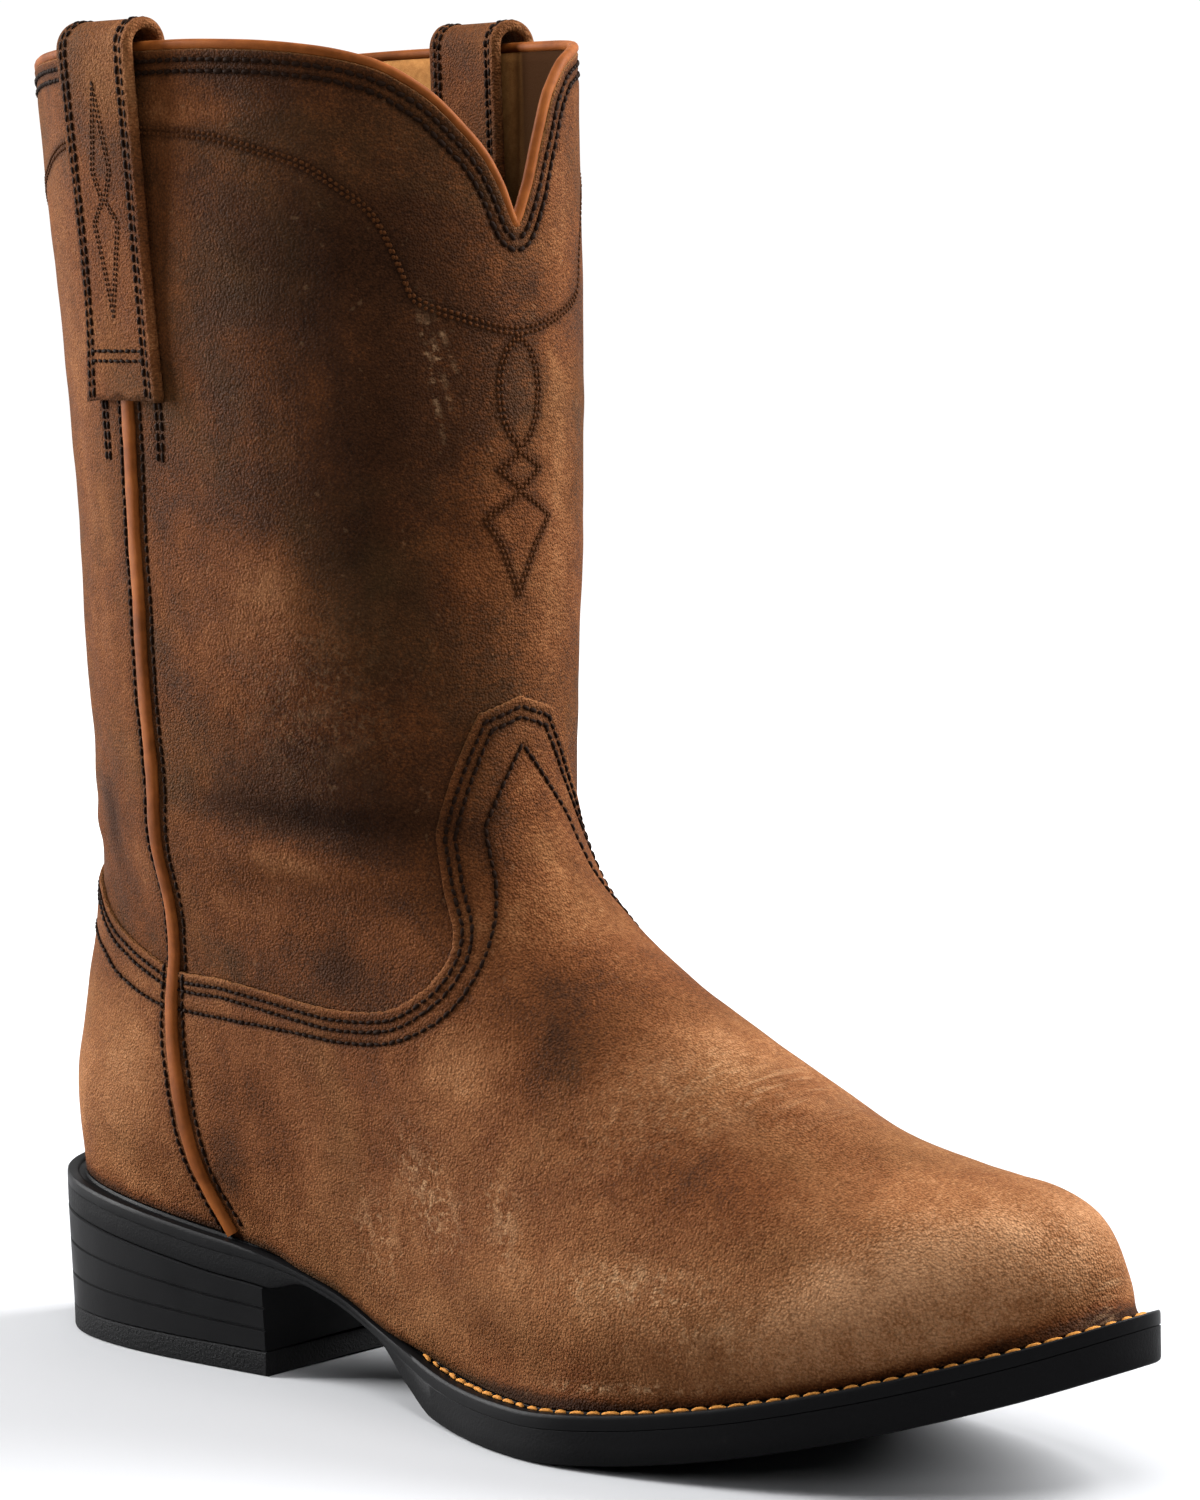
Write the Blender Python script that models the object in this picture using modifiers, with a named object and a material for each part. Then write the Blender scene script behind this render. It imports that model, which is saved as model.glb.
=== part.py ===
"""Roper boot for the right foot: a pull-on leather upper on a welted rubber sole.

X runs from the heel to the toe, Y to the wearer's left, which is the inner side
of this boot, and Z up. Z = 0 is the plane that the heel and the ball stand on.
The sections measure X from the back of the heel, and each piece is then moved
so that the origin is the middle of the heel's floor face.
"""
import math
from collections import namedtuple

import bmesh
import bpy
import numpy as np

# Driving dimensions, in metres
SOLE_LENGTH = 0.304          # back of the heel to the tip of the toe
BALL_WIDTH = 0.097           # sole across the ball of the foot
WAIST_WIDTH = 0.057          # sole across the waist
HEEL_WIDTH = 0.063           # sole across the heel seat
TOE_SWING = 0.0139           # how far the toe tip lies to the inner side
HEEL_HEIGHT = 0.0398         # floor to the top of the sole at the back
HEEL_LENGTH = 0.0860         # back of the heel to its breast
TOE_SPRING = 0.0262          # floor to the underside of the toe tip
BOOT_HEIGHT = 0.301          # floor to the leather edge at the side seams
SHAFT_LENGTH = 0.148         # collar from front to back
SHAFT_WIDTH = 0.104          # collar from side to side
SHAFT_TURN = math.radians(-7.3)    # the leg's turn on the foot, seen from above
FRONT_DIP = 0.0405           # depth of the V at the front of the collar
BACK_DIP = 0.0240            # depth of the V at the back of the collar

# Leather
WALL = 0.0019                # shaft leather with its lining
OVERLAY = 0.0011             # vamp and counter leather over the shaft
OVERLAY_FADE = 0.045         # height over which the shaft comes out again above the vamp
EDGE_DROP = 0.0006           # height of the step at the edge of vamp and counter

# Sole
WELT_THICKNESS = 0.0030
WELT_MARGIN = 0.0045         # sole edge beyond the foot of the upper
WELT_SEAT = 0.0115           # width of the welt from the sole edge inward
BALL_THICKNESS = 0.0079      # outsole under the ball
SHANK_THICKNESS = 0.0014     # outsole under the waist
SHANK_WELT = 0.0013          # welt at the waist
SHANK_MARGIN = 0.0008        # sole edge beyond the upper at the waist
SEAT_THICKNESS = 0.0055      # outsole over the heel
SOLE_CHAMFER = 0.0008
CAP_THICKNESS = 0.0057       # top lift, the layer that wears on the floor
HEEL_BANDS = 3               # bands of the heel between its grooves
GROOVE = 0.0006              # depth and height of a groove round the heel
HEEL_TAPER = 0.0006          # how much the heel draws in down to the floor
BREAST_HOLLOW = 0.0015       # hollow of the heel's front face
INSOLE_THICKNESS = 0.0028
INSOLE_GAP = 0.0011          # insole's edge to the lining's folds

# Trim
BINDING_RADIUS = 0.0013
PIPING_WIDTH = 0.0048
PIPING_HEIGHT = 0.0019
PIPING_SEAT = 0.0005         # gap under the piping, which rides over a curved face
PIPING_RAMP = 0.008          # length over which it climbs onto the counter
PIPING_FOOT = 0.0012         # its lower end above the feather line
PIPING_END = 0.700           # share of the leg's height where it goes under the strap
STRAP_WIDTH = 0.0255         # strap at the collar
STRAP_THICKNESS = 0.0030
STRAP_STAND_OUT = 0.0025     # strap off the outer wall at the collar
STRAP_STAND_IN = 0.0020      # strap off the lining at the collar
STRAP_RISE = 0.0015          # middle of the strap's bend above the collar
STRAP_HEM = 0.708            # share of the leg's height where the strap ends
STRAP_SEWN = 0.755           # share where it leaves the shaft
INNER_SEAM_SHIFT = 0.022     # how much nearer the front the inner seam lies

CLEARANCE = 0.0003           # gap between pieces that meet

# Fineness
RING_COLUMNS = 60            # columns round the upper
CROWDING = 0.30              # how much the columns crowd to toe and heel
FINE_COLUMNS = 192           # columns of the surface that all pieces read
SIDE_SAMPLES = 160           # samples along each side of a section
SOLE_COLUMNS = 120
WAIST_CROWDING = 0.20        # how much the sole's columns crowd to the waist
HEEL_COLUMNS = 30
FOOT_ROWS = 14
SHAFT_ROWS = 13
LINING_FOOT_ROWS = 9
LINING_SHAFT_ROWS = 9
ROW_CROWDING = 1.3           # rows crowd to the sole
SLOPE_STEP = 0.0008          # step for reading the slope of the surface
PIPING_SECTIONS = 30
STRAP_LEG_ROWS = 9
STRAP_BEND_ROWS = 7
STRAP_ACROSS = 4
CORD_SEGMENTS = 2            # added points in each quarter of the binding's cord
SHARP_ANGLE = math.radians(35)
MITRE_LIMIT = 0.5            # least cosine at a corner, so that mitres stay short

BALL_TOP = BALL_THICKNESS + WELT_THICKNESS
SHAFT_AXIS = 0.275 * SOLE_LENGTH
SHAFT_GIRTH = math.pi / 2.0 * (SHAFT_LENGTH + SHAFT_WIDTH)
ORIGIN_SHIFT = -HEEL_LENGTH / 2.0

# Height of the sole's top, in shares of the heel's and of the toe's lift. The
# first and the last row lie past the sole and keep its ends from levelling out.
SoleHeight = namedtuple("SoleHeight", "station heel_share toe_share")
SOLE_HEIGHTS = (
    SoleHeight(-0.05, 1.068, 0.000),
    SoleHeight(0.00, 1.000, 0.000),
    SoleHeight(0.10, 0.865, 0.000),
    SoleHeight(0.20, 0.730, 0.000),
    SoleHeight(0.28, 0.622, 0.000),
    SoleHeight(0.35, 0.440, 0.000),
    SoleHeight(0.41, 0.205, 0.000),
    SoleHeight(0.45, 0.097, 0.000),
    SoleHeight(0.49, 0.026, 0.000),
    SoleHeight(0.52, 0.004, 0.000),
    SoleHeight(0.55, 0.000, 0.000),
    SoleHeight(0.60, 0.000, 0.000),
    SoleHeight(0.66, 0.000, 0.045),
    SoleHeight(0.75, 0.000, 0.190),
    SoleHeight(0.85, 0.000, 0.450),
    SoleHeight(0.95, 0.000, 0.790),
    SoleHeight(1.00, 0.000, 1.000),
    SoleHeight(1.05, 0.000, 1.220),
)

# Plan of the sole: outer and inner side in shares of the width named
SolePlan = namedtuple("SolePlan", "station width outer inner")
SOLE_PLAN = (
    SolePlan(0.00, HEEL_WIDTH, 0.500, 0.500),
    SolePlan(0.12, HEEL_WIDTH, 0.500, 0.500),
    SolePlan(0.36, WAIST_WIDTH, 0.520, 0.480),
    SolePlan(0.66, BALL_WIDTH, 0.562, 0.438),
    SolePlan(1.00, BALL_WIDTH, 0.562, 0.438),
)
HEEL_ROUND = 9.0             # power of the sole's end curve at the heel
TOE_ROUND = 2.2              # the same at the toe

# Outsole thickness along the sole
SoleThickness = namedtuple("SoleThickness", "station outsole welt margin")
SOLE_THICKNESSES = (
    SoleThickness(0.000, SEAT_THICKNESS, WELT_THICKNESS, WELT_MARGIN),
    SoleThickness(0.220, SEAT_THICKNESS, WELT_THICKNESS, WELT_MARGIN),
    SoleThickness(0.285, SEAT_THICKNESS, 0.0021, 0.0028),
    SoleThickness(0.330, SHANK_THICKNESS, SHANK_WELT, SHANK_MARGIN),
    SoleThickness(0.405, SHANK_THICKNESS, SHANK_WELT, SHANK_MARGIN),
    SoleThickness(0.445, 0.0052, 0.0024, 0.0032),
    SoleThickness(0.485, BALL_THICKNESS, WELT_THICKNESS, WELT_MARGIN),
    SoleThickness(1.000, BALL_THICKNESS, WELT_THICKNESS, WELT_MARGIN),
)

# Sections of the last above the feather line. Back and front are shares of the
# sole's length, the two heights are shares of the way from the sole to the
# collar, follow is how much the section dips with the sole, the half widths are
# shares of the ball width, and turn is the share of the shaft's turn.
FootLevel = namedtuple(
    "FootLevel",
    "name back front back_up front_up follow heel "
    "waist_out ball_out waist_in ball_in back_round front_round turn")
FOOT_LEVELS = (
    FootLevel("rise", 0.0085, 0.9750, 0.032, 0.014, 1.00,
              0.285, 0.335, 0.508, 0.297, 0.432, 8.0, 2.90, 0.00),
    FootLevel("side", 0.0085, 0.9715, 0.065, 0.041, 0.90,
              0.315, 0.353, 0.518, 0.316, 0.442, 7.0, 2.90, 0.00),
    FootLevel("shoulder", 0.0100, 0.9560, 0.104, 0.082, 0.80,
              0.326, 0.362, 0.497, 0.330, 0.434, 6.0, 2.80, 0.00),
    FootLevel("toe top", 0.0145, 0.9110, 0.144, 0.118, 0.65,
              0.332, 0.370, 0.457, 0.343, 0.420, 5.0, 2.75, 0.05),
    FootLevel("vamp low", 0.0175, 0.8385, 0.181, 0.151, 0.50,
              0.330, 0.380, 0.431, 0.360, 0.398, 4.5, 2.65, 0.12),
    FootLevel("vamp middle", 0.0205, 0.7630, 0.216, 0.197, 0.40,
              0.336, 0.385, 0.400, 0.370, 0.388, 4.0, 2.50, 0.25),
    FootLevel("vamp high", 0.0230, 0.6835, 0.256, 0.250, 0.30,
              0.346, 0.396, 0.382, 0.380, 0.376, 3.5, 2.30, 0.40),
    FootLevel("instep low", 0.0280, 0.6085, 0.295, 0.297, 0.20,
              0.358, 0.406, 0.375, 0.392, 0.373, 3.1, 2.20, 0.55),
    FootLevel("instep top", 0.0305, 0.5430, 0.338, 0.352, 0.12,
              0.380, 0.423, 0.388, 0.412, 0.382, 2.9, 2.10, 0.70),
)

# Sections of the leg. Back and front are shares of the shaft's length from its
# axis, the heights are shares of the boot's height, and the half widths are
# shares of the shaft's width.
ShaftLevel = namedtuple("ShaftLevel", "name back front back_up front_up heel middle shin round turn")
SHAFT_LEVELS = (
    ShaftLevel("throat", 0.487, 0.483, 0.465, 0.444, 0.383, 0.407, 0.387, 2.45, 0.85),
    ShaftLevel("ankle", 0.481, 0.473, 0.525, 0.521, 0.413, 0.424, 0.418, 2.45, 1.00),
    ShaftLevel("leg", 0.480, 0.478, 0.631, 0.631, 0.430, 0.443, 0.442, 2.35, 0.95),
    ShaftLevel("calf", 0.490, 0.473, 0.798, 0.798, 0.451, 0.472, 0.471, 2.35, 0.75),
    ShaftLevel("collar", 0.518, 0.466, 1.000, 1.000, 0.476, 0.500, 0.497, 2.30, 0.60),
)
HALF_STATIONS = (0.0, 0.12, 0.42, 0.70, 1.0)    # heel, heel, waist, ball and toe
BLEND_FROM = 0.3                                # stations over which the end curve
BLEND_TO = 0.6                                  # changes from heel to toe

# Edge of vamp and counter: around runs from the front (0) to the back (0.5)
EdgePoint = namedtuple("EdgePoint", "around height")
VAMP_EDGE = (
    EdgePoint(0.000, 0.458),
    EdgePoint(0.026, 0.443),
    EdgePoint(0.040, 0.407),
    EdgePoint(0.062, 0.364),
    EdgePoint(0.078, 0.318),
    EdgePoint(0.094, 0.283),
    EdgePoint(0.125, 0.255),
    EdgePoint(0.188, 0.220),
    EdgePoint(0.250, 0.203),
    EdgePoint(0.310, 0.199),
    EdgePoint(0.360, 0.190),
    EdgePoint(0.403, 0.203),
    EdgePoint(0.438, 0.232),
    EdgePoint(0.500, 0.250),
)

# Scallop of the collar: share of the dip by the distance from its middle, on the
# outer and on the inner side of the boot
DipPoint = namedtuple("DipPoint", "away outer inner")
DIP = (
    DipPoint(0.000, 1.000, 1.000),
    DipPoint(0.013, 0.770, 0.790),
    DipPoint(0.022, 0.630, 0.560),
    DipPoint(0.036, 0.480, 0.280),
    DipPoint(0.057, 0.290, 0.120),
    DipPoint(0.086, 0.135, 0.055),
    DipPoint(0.119, 0.060, 0.025),
    DipPoint(0.160, 0.018, 0.008),
    DipPoint(0.210, 0.000, 0.000),
    DipPoint(0.250, 0.000, 0.000),
)

# Line of the side seam from the sole up
SeamPoint = namedtuple("SeamPoint", "height around")
SIDE_SEAM = (
    SeamPoint(0.000, 0.3760),
    SeamPoint(0.030, 0.3815),
    SeamPoint(0.070, 0.3850),
    SeamPoint(0.100, 0.3862),
    SeamPoint(0.125, 0.3840),
    SeamPoint(0.150, 0.3760),
    SeamPoint(0.175, 0.3650),
    SeamPoint(0.225, 0.3390),
    SeamPoint(0.260, 0.3200),
    SeamPoint(0.290, 0.3050),
    SeamPoint(0.330, 0.2910),
    SeamPoint(0.370, 0.2828),
    SeamPoint(0.440, 0.2775),
    SeamPoint(0.520, 0.2765),
    SeamPoint(0.600, 0.2755),
    SeamPoint(0.700, 0.2720),
    SeamPoint(1.000, 0.2600),
)

# Strap's width, in shares of its width at the collar
StrapFlare = namedtuple("StrapFlare", "height width")
STRAP_FLARE = (
    StrapFlare(0.700, 1.21),
    StrapFlare(0.745, 1.12),
    StrapFlare(0.785, 1.05),
    StrapFlare(0.840, 1.01),
    StrapFlare(1.000, 1.00),
)

# Section of the piping: shares of its width across and of its height out
PipingPoint = namedtuple("PipingPoint", "across out")
PIPING_PROFILE = (
    PipingPoint(-0.50, 0.00),
    PipingPoint(-0.38, 0.65),
    PipingPoint(-0.15, 1.00),
    PipingPoint(0.15, 1.00),
    PipingPoint(0.38, 0.65),
    PipingPoint(0.50, 0.00),
)

# Colour and roughness
Finish = namedtuple("Finish", "colour roughness")
FINISHES = {
    "leather": Finish((0.110, 0.052, 0.026), 0.60),
    "tan leather": Finish((0.300, 0.120, 0.050), 0.50),
    "strap leather": Finish((0.100, 0.050, 0.026), 0.60),
    "footbed": Finish((0.330, 0.200, 0.090), 0.80),
    "rubber": Finish((0.012, 0.012, 0.013), 0.42),
    "lift rubber": Finish((0.016, 0.016, 0.016), 0.70),
}


def smooth(value, low, high):
    """An even rise from 0 at low to 1 at high."""
    t = np.clip((value - low) / (high - low), 0.0, 1.0)
    return t * t * (3.0 - 2.0 * t)


def monotone(places, values, at):
    """A smooth curve through the values that never overshoots them."""
    places = np.asarray(places, float)
    values = np.asarray(values, float)
    step = np.diff(places)
    rate = np.diff(values) / step
    same = rate[1:] * rate[:-1] > 0.0
    total = np.where(same, rate[1:] + rate[:-1], 1.0)
    slope = np.zeros_like(values)
    slope[1:-1] = np.where(same, 2.0 * rate[1:] * rate[:-1] / total, 0.0)
    at = np.clip(at, places[0], places[-1])
    i = np.clip(np.searchsorted(places, at, side="right") - 1, 0, len(places) - 2)
    t = (at - places[i]) / step[i]
    near = values[i] * (1 + 2 * t) * (1 - t) ** 2 + slope[i] * step[i] * t * (1 - t) ** 2
    far = values[i + 1] * t * t * (3 - 2 * t) + slope[i + 1] * step[i] * t * t * (t - 1)
    return near + far


def table_curve(table, at):
    """The curve through a table whose rows are a place and a value."""
    return monotone([row[0] for row in table], [row[1] for row in table], at)


def sole_top(x):
    """Height of the sole's top face at x."""
    station = np.asarray(x, float) / SOLE_LENGTH
    heel = monotone([row.station for row in SOLE_HEIGHTS],
                    [row.heel_share for row in SOLE_HEIGHTS], station)
    toe = monotone([row.station for row in SOLE_HEIGHTS],
                   [row.toe_share for row in SOLE_HEIGHTS], station)
    return BALL_TOP + (HEEL_HEIGHT - BALL_TOP) * heel + TOE_SPRING * toe


def edge_size(x, name):
    """Outsole or welt thickness, or the welt's margin, at x."""
    return monotone([row.station for row in SOLE_THICKNESSES],
                    [getattr(row, name) for row in SOLE_THICKNESSES],
                    np.asarray(x, float) / SOLE_LENGTH)


def outsole_top(x):
    return sole_top(x) - edge_size(x, "welt")


def outsole_bottom(x):
    return np.maximum(outsole_top(x) - edge_size(x, "outsole"), 0.0)


def end_curve(station, back, front):
    """Share of the half width left at a station by the round ends."""
    power = back + (front - back) * smooth(station, BLEND_FROM, BLEND_TO)
    return np.sqrt(np.clip(1.0 - np.abs(2.0 * station - 1.0) ** power, 0.0, 1.0))


def stations(count):
    """Stations from the toe (1) to the heel (0), close together at both ends."""
    return (1.0 + np.cos(np.linspace(0.0, math.pi, count))) / 2.0


def unit(vectors):
    return vectors / np.linalg.norm(vectors, axis=-1, keepdims=True)


def inset(ring, distance):
    """A closed plan ring moved inward, with mitred corners."""
    ahead = unit(np.roll(ring, -1, 0) - ring)
    behind = unit(ring - np.roll(ring, 1, 0))
    along = unit(ahead + behind)
    mitre = 1.0 / np.maximum((along * ahead).sum(1), MITRE_LIMIT)
    inward = np.stack([along[:, 1], -along[:, 0]], 1)
    return ring + inward * (distance * mitre)[:, None]


def resample(points, count):
    """Points spread evenly along an open line."""
    run = np.r_[0.0, np.cumsum(np.linalg.norm(np.diff(points, axis=0), axis=1))]
    at = np.linspace(0.0, run[-1], count)
    return np.stack([np.interp(at, run, points[:, k]) for k in range(points.shape[1])], 1)


def join_sides(outer, inner, columns):
    """A ring from the toe down the outer side to the heel, and back inside."""
    count = columns // 2 + 1
    return np.vstack([resample(outer, count), resample(inner, count)[-2:0:-1]])


def rungs(outer, inner, columns):
    """The same ring with its points in pairs straight across from each other."""
    even = np.linspace(0.0, 1.0, columns // 2 + 1)
    even = even + WAIST_CROWDING * np.sin(2.0 * math.pi * even) / (2.0 * math.pi)
    x = outer[-1, 0] + (outer[0, 0] - outer[-1, 0]) * (1.0 + np.cos(math.pi * even)) / 2.0
    near = np.interp(x, outer[::-1, 0], outer[::-1, 1])
    far = np.interp(x, inner[::-1, 0], inner[::-1, 1])
    return np.vstack([np.stack([x, near], 1), np.stack([x, far], 1)[-2:0:-1]])


def sole_sides():
    """Plan of the sole's two sides, each from the toe to the heel."""
    station = stations(SIDE_SAMPLES)
    places = [row.station for row in SOLE_PLAN]
    bow = end_curve(station, HEEL_ROUND, TOE_ROUND)
    outer = monotone(places, [row.width * row.outer for row in SOLE_PLAN], station) * bow
    inner = monotone(places, [row.width * row.inner for row in SOLE_PLAN], station) * bow
    middle = TOE_SWING * station ** 3
    x = SOLE_LENGTH * station
    return np.stack([x, middle - outer], 1), np.stack([x, middle + inner], 1)


def inset_sides(distance):
    """The sole's sides moved inward by a length, or by a function of x."""
    outer, inner = sole_sides()
    ring = np.vstack([outer, inner[-2:0:-1]])
    ring = inset(ring, distance(ring[:, 0]) if callable(distance) else distance)
    return ring[:SIDE_SAMPLES], np.vstack([ring[:1], ring[:SIDE_SAMPLES - 2:-1]])


def sole_ring(distance=0.0):
    """Plan ring of the sole, inset from its edge."""
    outer, inner = inset_sides(distance)
    return rungs(outer, inner, SOLE_COLUMNS)


def on_face(ring, height):
    """A plan ring laid on a height that depends on x."""
    return np.column_stack([ring, height(ring[:, 0])])


def feather_level():
    """Foot of the upper's outer face, just clear of the welt."""
    sides = inset_sides(lambda x: edge_size(x, "margin"))
    outer, inner = [on_face(side, lambda x: sole_top(x) + CLEARANCE) for side in sides]
    return join_sides(outer, inner, FINE_COLUMNS)


def side_rings(x, z, middle, outer, inner):
    near = np.stack([x, middle - outer, z], 1)
    far = np.stack([x, middle + inner, z], 1)
    return join_sides(near, far, FINE_COLUMNS)


def foot_level(row):
    station = stations(SIDE_SAMPLES)
    back = row.back * SOLE_LENGTH
    front = row.front * SOLE_LENGTH
    x = back + (front - back) * station
    seat = sole_top(back)
    tip = sole_top(front)
    low = seat + row.back_up * (BOOT_HEIGHT - seat)
    high = tip + row.front_up * (BOOT_HEIGHT - tip)
    dip = sole_top(x) - (seat + (tip - seat) * station)
    z = low + (high - low) * station + row.follow * dip
    bow = end_curve(station, row.back_round, row.front_round) * BALL_WIDTH
    outer = (row.heel, row.heel, row.waist_out, row.ball_out, row.ball_out)
    inner = (row.heel, row.heel, row.waist_in, row.ball_in, row.ball_in)
    middle = TOE_SWING * row.follow * station ** 3
    return side_rings(x, z, middle, monotone(HALF_STATIONS, outer, station) * bow,
                      monotone(HALF_STATIONS, inner, station) * bow)


def shaft_level(row):
    station = stations(SIDE_SAMPLES)
    back = SHAFT_AXIS - row.back * SHAFT_LENGTH
    front = SHAFT_AXIS + row.front * SHAFT_LENGTH
    x = back + (front - back) * station
    z = BOOT_HEIGHT * (row.back_up + (row.front_up - row.back_up) * station)
    shares = (row.heel, row.heel, row.middle, row.shin, row.shin)
    half = monotone(HALF_STATIONS, shares, station)
    half = half * end_curve(station, row.round, row.round) * SHAFT_WIDTH
    return side_rings(x, z, np.zeros(SIDE_SAMPLES), half, half)


def turned(ring, share):
    """A section turned about its own middle, seen from above."""
    angle = SHAFT_TURN * share
    middle = (ring[:, :2].max(0) + ring[:, :2].min(0)) / 2.0
    turn = np.array([[math.cos(angle), math.sin(angle)], [-math.sin(angle), math.cos(angle)]])
    return np.column_stack([(ring[:, :2] - middle) @ turn + middle, ring[:, 2]])


class Last:
    """The upper's outer face: a cubic spline through the sections.

    A place on it is around, from 0 at the front by the outer side to 1, and a
    height, which is the mean of the section's heights at front and back.
    """

    def __init__(self):
        rings = [feather_level()]
        rings += [turned(foot_level(row), row.turn) for row in FOOT_LEVELS]
        rings += [turned(shaft_level(row), row.turn) for row in SHAFT_LEVELS]
        self.rings = np.array(rings)
        self.knots = (self.rings[:, 0, 2] + self.rings[:, FINE_COLUMNS // 2, 2]) / 2.0
        self.bend = self.second_slopes()

    def second_slopes(self):
        step = np.diff(self.knots)[:, None, None]
        rate = np.diff(self.rings, axis=0) / step
        count = len(self.knots)
        system = np.eye(count)
        right = np.zeros_like(self.rings)
        for i in range(1, count - 1):
            system[i, i - 1] = step[i - 1, 0, 0]
            system[i, i] = 2.0 * (step[i - 1, 0, 0] + step[i, 0, 0])
            system[i, i + 1] = step[i, 0, 0]
            right[i] = 6.0 * (rate[i] - rate[i - 1])
        flat = np.linalg.solve(system, right.reshape(count, -1))
        return flat.reshape(self.rings.shape)

    def level(self, share):
        """Height of a share of the way from the feather line to the collar."""
        return self.knots[0] + share * (self.knots[-1] - self.knots[0])

    def column(self, index, height):
        i = np.clip(np.searchsorted(self.knots, height, side="right") - 1, 0, len(self.knots) - 2)
        step = self.knots[i + 1] - self.knots[i]
        low = ((self.knots[i + 1] - height) / step)[..., None]
        high = 1.0 - low
        bend = (low ** 3 - low) * self.bend[i, index] + (high ** 3 - high) * self.bend[i + 1, index]
        line = low * self.rings[i, index] + high * self.rings[i + 1, index]
        return line + bend * (step * step / 6.0)[..., None]

    def face(self, around, height):
        around, height = np.broadcast_arrays(around, height)
        place = np.mod(around, 1.0) * FINE_COLUMNS
        index = np.floor(place).astype(int)
        share = (place - index)[..., None]
        near = self.column(index % FINE_COLUMNS, height)
        far = self.column((index + 1) % FINE_COLUMNS, height)
        return near * (1.0 - share) + far * share

    def outward(self, around, height):
        step = 1.0 / FINE_COLUMNS
        across = self.face(around + step, height) - self.face(around - step, height)
        low = np.maximum(height - SLOPE_STEP, self.knots[0])
        up = self.face(around, low + 2.0 * SLOPE_STEP) - self.face(around, low)
        return unit(np.cross(up, across))

    def at(self, around, height, depth):
        """A point under the face by a depth, or over it where depth is negative."""
        depth = np.asarray(depth)[..., None]
        return self.face(around, height) - self.outward(around, height) * depth


LAST = Last()


def folded(around):
    """Distance round from the front, 0 to 0.5 on both sides."""
    around = np.mod(around, 1.0)
    return np.minimum(around, 1.0 - around)


def edge_height(around):
    """Height of the upper edge of vamp and counter."""
    return LAST.level(table_curve(VAMP_EDGE, folded(around)))


def dip_share(away, side):
    return monotone([row.away for row in DIP], [getattr(row, side) for row in DIP], away)


def collar_height(around):
    """Height of the leather's top edge, with its two scallops."""
    away = folded(around)
    is_outer = np.mod(around, 1.0) < 0.5
    front = FRONT_DIP * np.where(is_outer, dip_share(away, "outer"), dip_share(away, "inner"))
    back = BACK_DIP * dip_share(0.5 - away, "outer")
    return BOOT_HEIGHT - front - back


def shaft_depth(around, height):
    """How far the shaft lies under the face just above the vamp."""
    edge = edge_height(around)
    return OVERLAY * (1.0 - smooth(height, edge, edge + OVERLAY_FADE))


def columns_around(count):
    """Places round the upper, closer together at the toe and the heel."""
    even = np.arange(count) / count
    return even - CROWDING * np.sin(4.0 * math.pi * even) / (4.0 * math.pi)


def seam_around(height, side):
    """Place of the side seam: side is 1 on the outer side, -1 on the inner."""
    share = (height - LAST.level(0.0)) / (LAST.level(1.0) - LAST.level(0.0))
    place = table_curve(SIDE_SEAM, share)
    return place if side > 0 else 1.0 - (place - INNER_SEAM_SHIFT)


def upper_rows(around, foot_rows, shaft_rows):
    """Heights of the rows up to the vamp's edge, and from there to the collar."""
    foot = np.linspace(0.0, 1.0, foot_rows + 1)[:, None] ** ROW_CROWDING
    shaft = np.linspace(0.0, 1.0, shaft_rows + 1)[:, None]
    edge = edge_height(around)
    start = edge + EDGE_DROP
    low = LAST.level(0.0) + (edge - LAST.level(0.0)) * foot
    return low, start + (collar_height(around) - start) * shaft


def outer_rings(around):
    foot, shaft = upper_rows(around, FOOT_ROWS, SHAFT_ROWS)
    low = LAST.face(around[None, :], foot)
    high = LAST.at(around[None, :], shaft, shaft_depth(around, shaft))
    return list(low) + list(high)


def lining_rings(around):
    foot, shaft = upper_rows(around, LINING_FOOT_ROWS, LINING_SHAFT_ROWS)
    foot_face = LAST.at(around[None, :], foot, np.full(foot.shape, WALL + OVERLAY))
    low_ring = LAST.face(around, foot[0])
    plan = inset(low_ring[:, :2], WALL + OVERLAY)
    foot_face[0] = on_face(plan, lambda x: sole_top(x) + CLEARANCE)
    shaft_face = LAST.at(around[None, :], shaft, WALL + shaft_depth(around, shaft))
    return list(foot_face) + list(shaft_face[1:])


def new_mesh_object(name, finish, points, faces):
    mesh = bpy.data.meshes.new(name)
    mesh.from_pydata([tuple(point) for point in points], [], faces)
    body = bmesh.new()
    body.from_mesh(mesh)
    bmesh.ops.recalc_face_normals(body, faces=body.faces)
    body.to_mesh(mesh)
    body.free()
    mesh.shade_smooth()
    mesh.set_sharp_from_angle(angle=SHARP_ANGLE)
    return add_object(name, finish, mesh)


def add_object(name, finish, data):
    made = bpy.data.objects.new(name, data)
    made.location.x = ORIGIN_SHIFT
    data.materials.append(material(name, finish))
    PARTS.objects.link(made)
    return made


def material(name, finish):
    colour, roughness = FINISHES[finish]
    made = bpy.data.materials.new(name + "_finish")
    made.use_nodes = True
    shader = made.node_tree.nodes["Principled BSDF"]
    shader.inputs["Base Color"].default_value = (*colour, 1.0)
    shader.inputs["Roughness"].default_value = roughness
    shader.inputs["Metallic"].default_value = 0.0
    return made


def bands(rings, closed):
    """Quads between rings of as many points, and on round if closed."""
    count = len(rings[0])
    faces = []
    for row in range(len(rings) if closed else len(rings) - 1):
        low = row * count
        high = (row + 1) % len(rings) * count
        for i in range(count):
            j = (i + 1) % count
            faces.append((low + i, low + j, high + j, high + i))
    return faces


def ladder(first, count):
    """A cap whose rungs join the two sides of a ring that starts at its tip."""
    faces = [(first, first + 1, first + count - 1)]
    for i in range(1, count // 2 - 1):
        faces.append((first + i, first + i + 1, first + count - i - 1, first + count - i))
    half = count // 2
    faces.append((first + half - 1, first + half, first + half + 1))
    return faces


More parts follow.
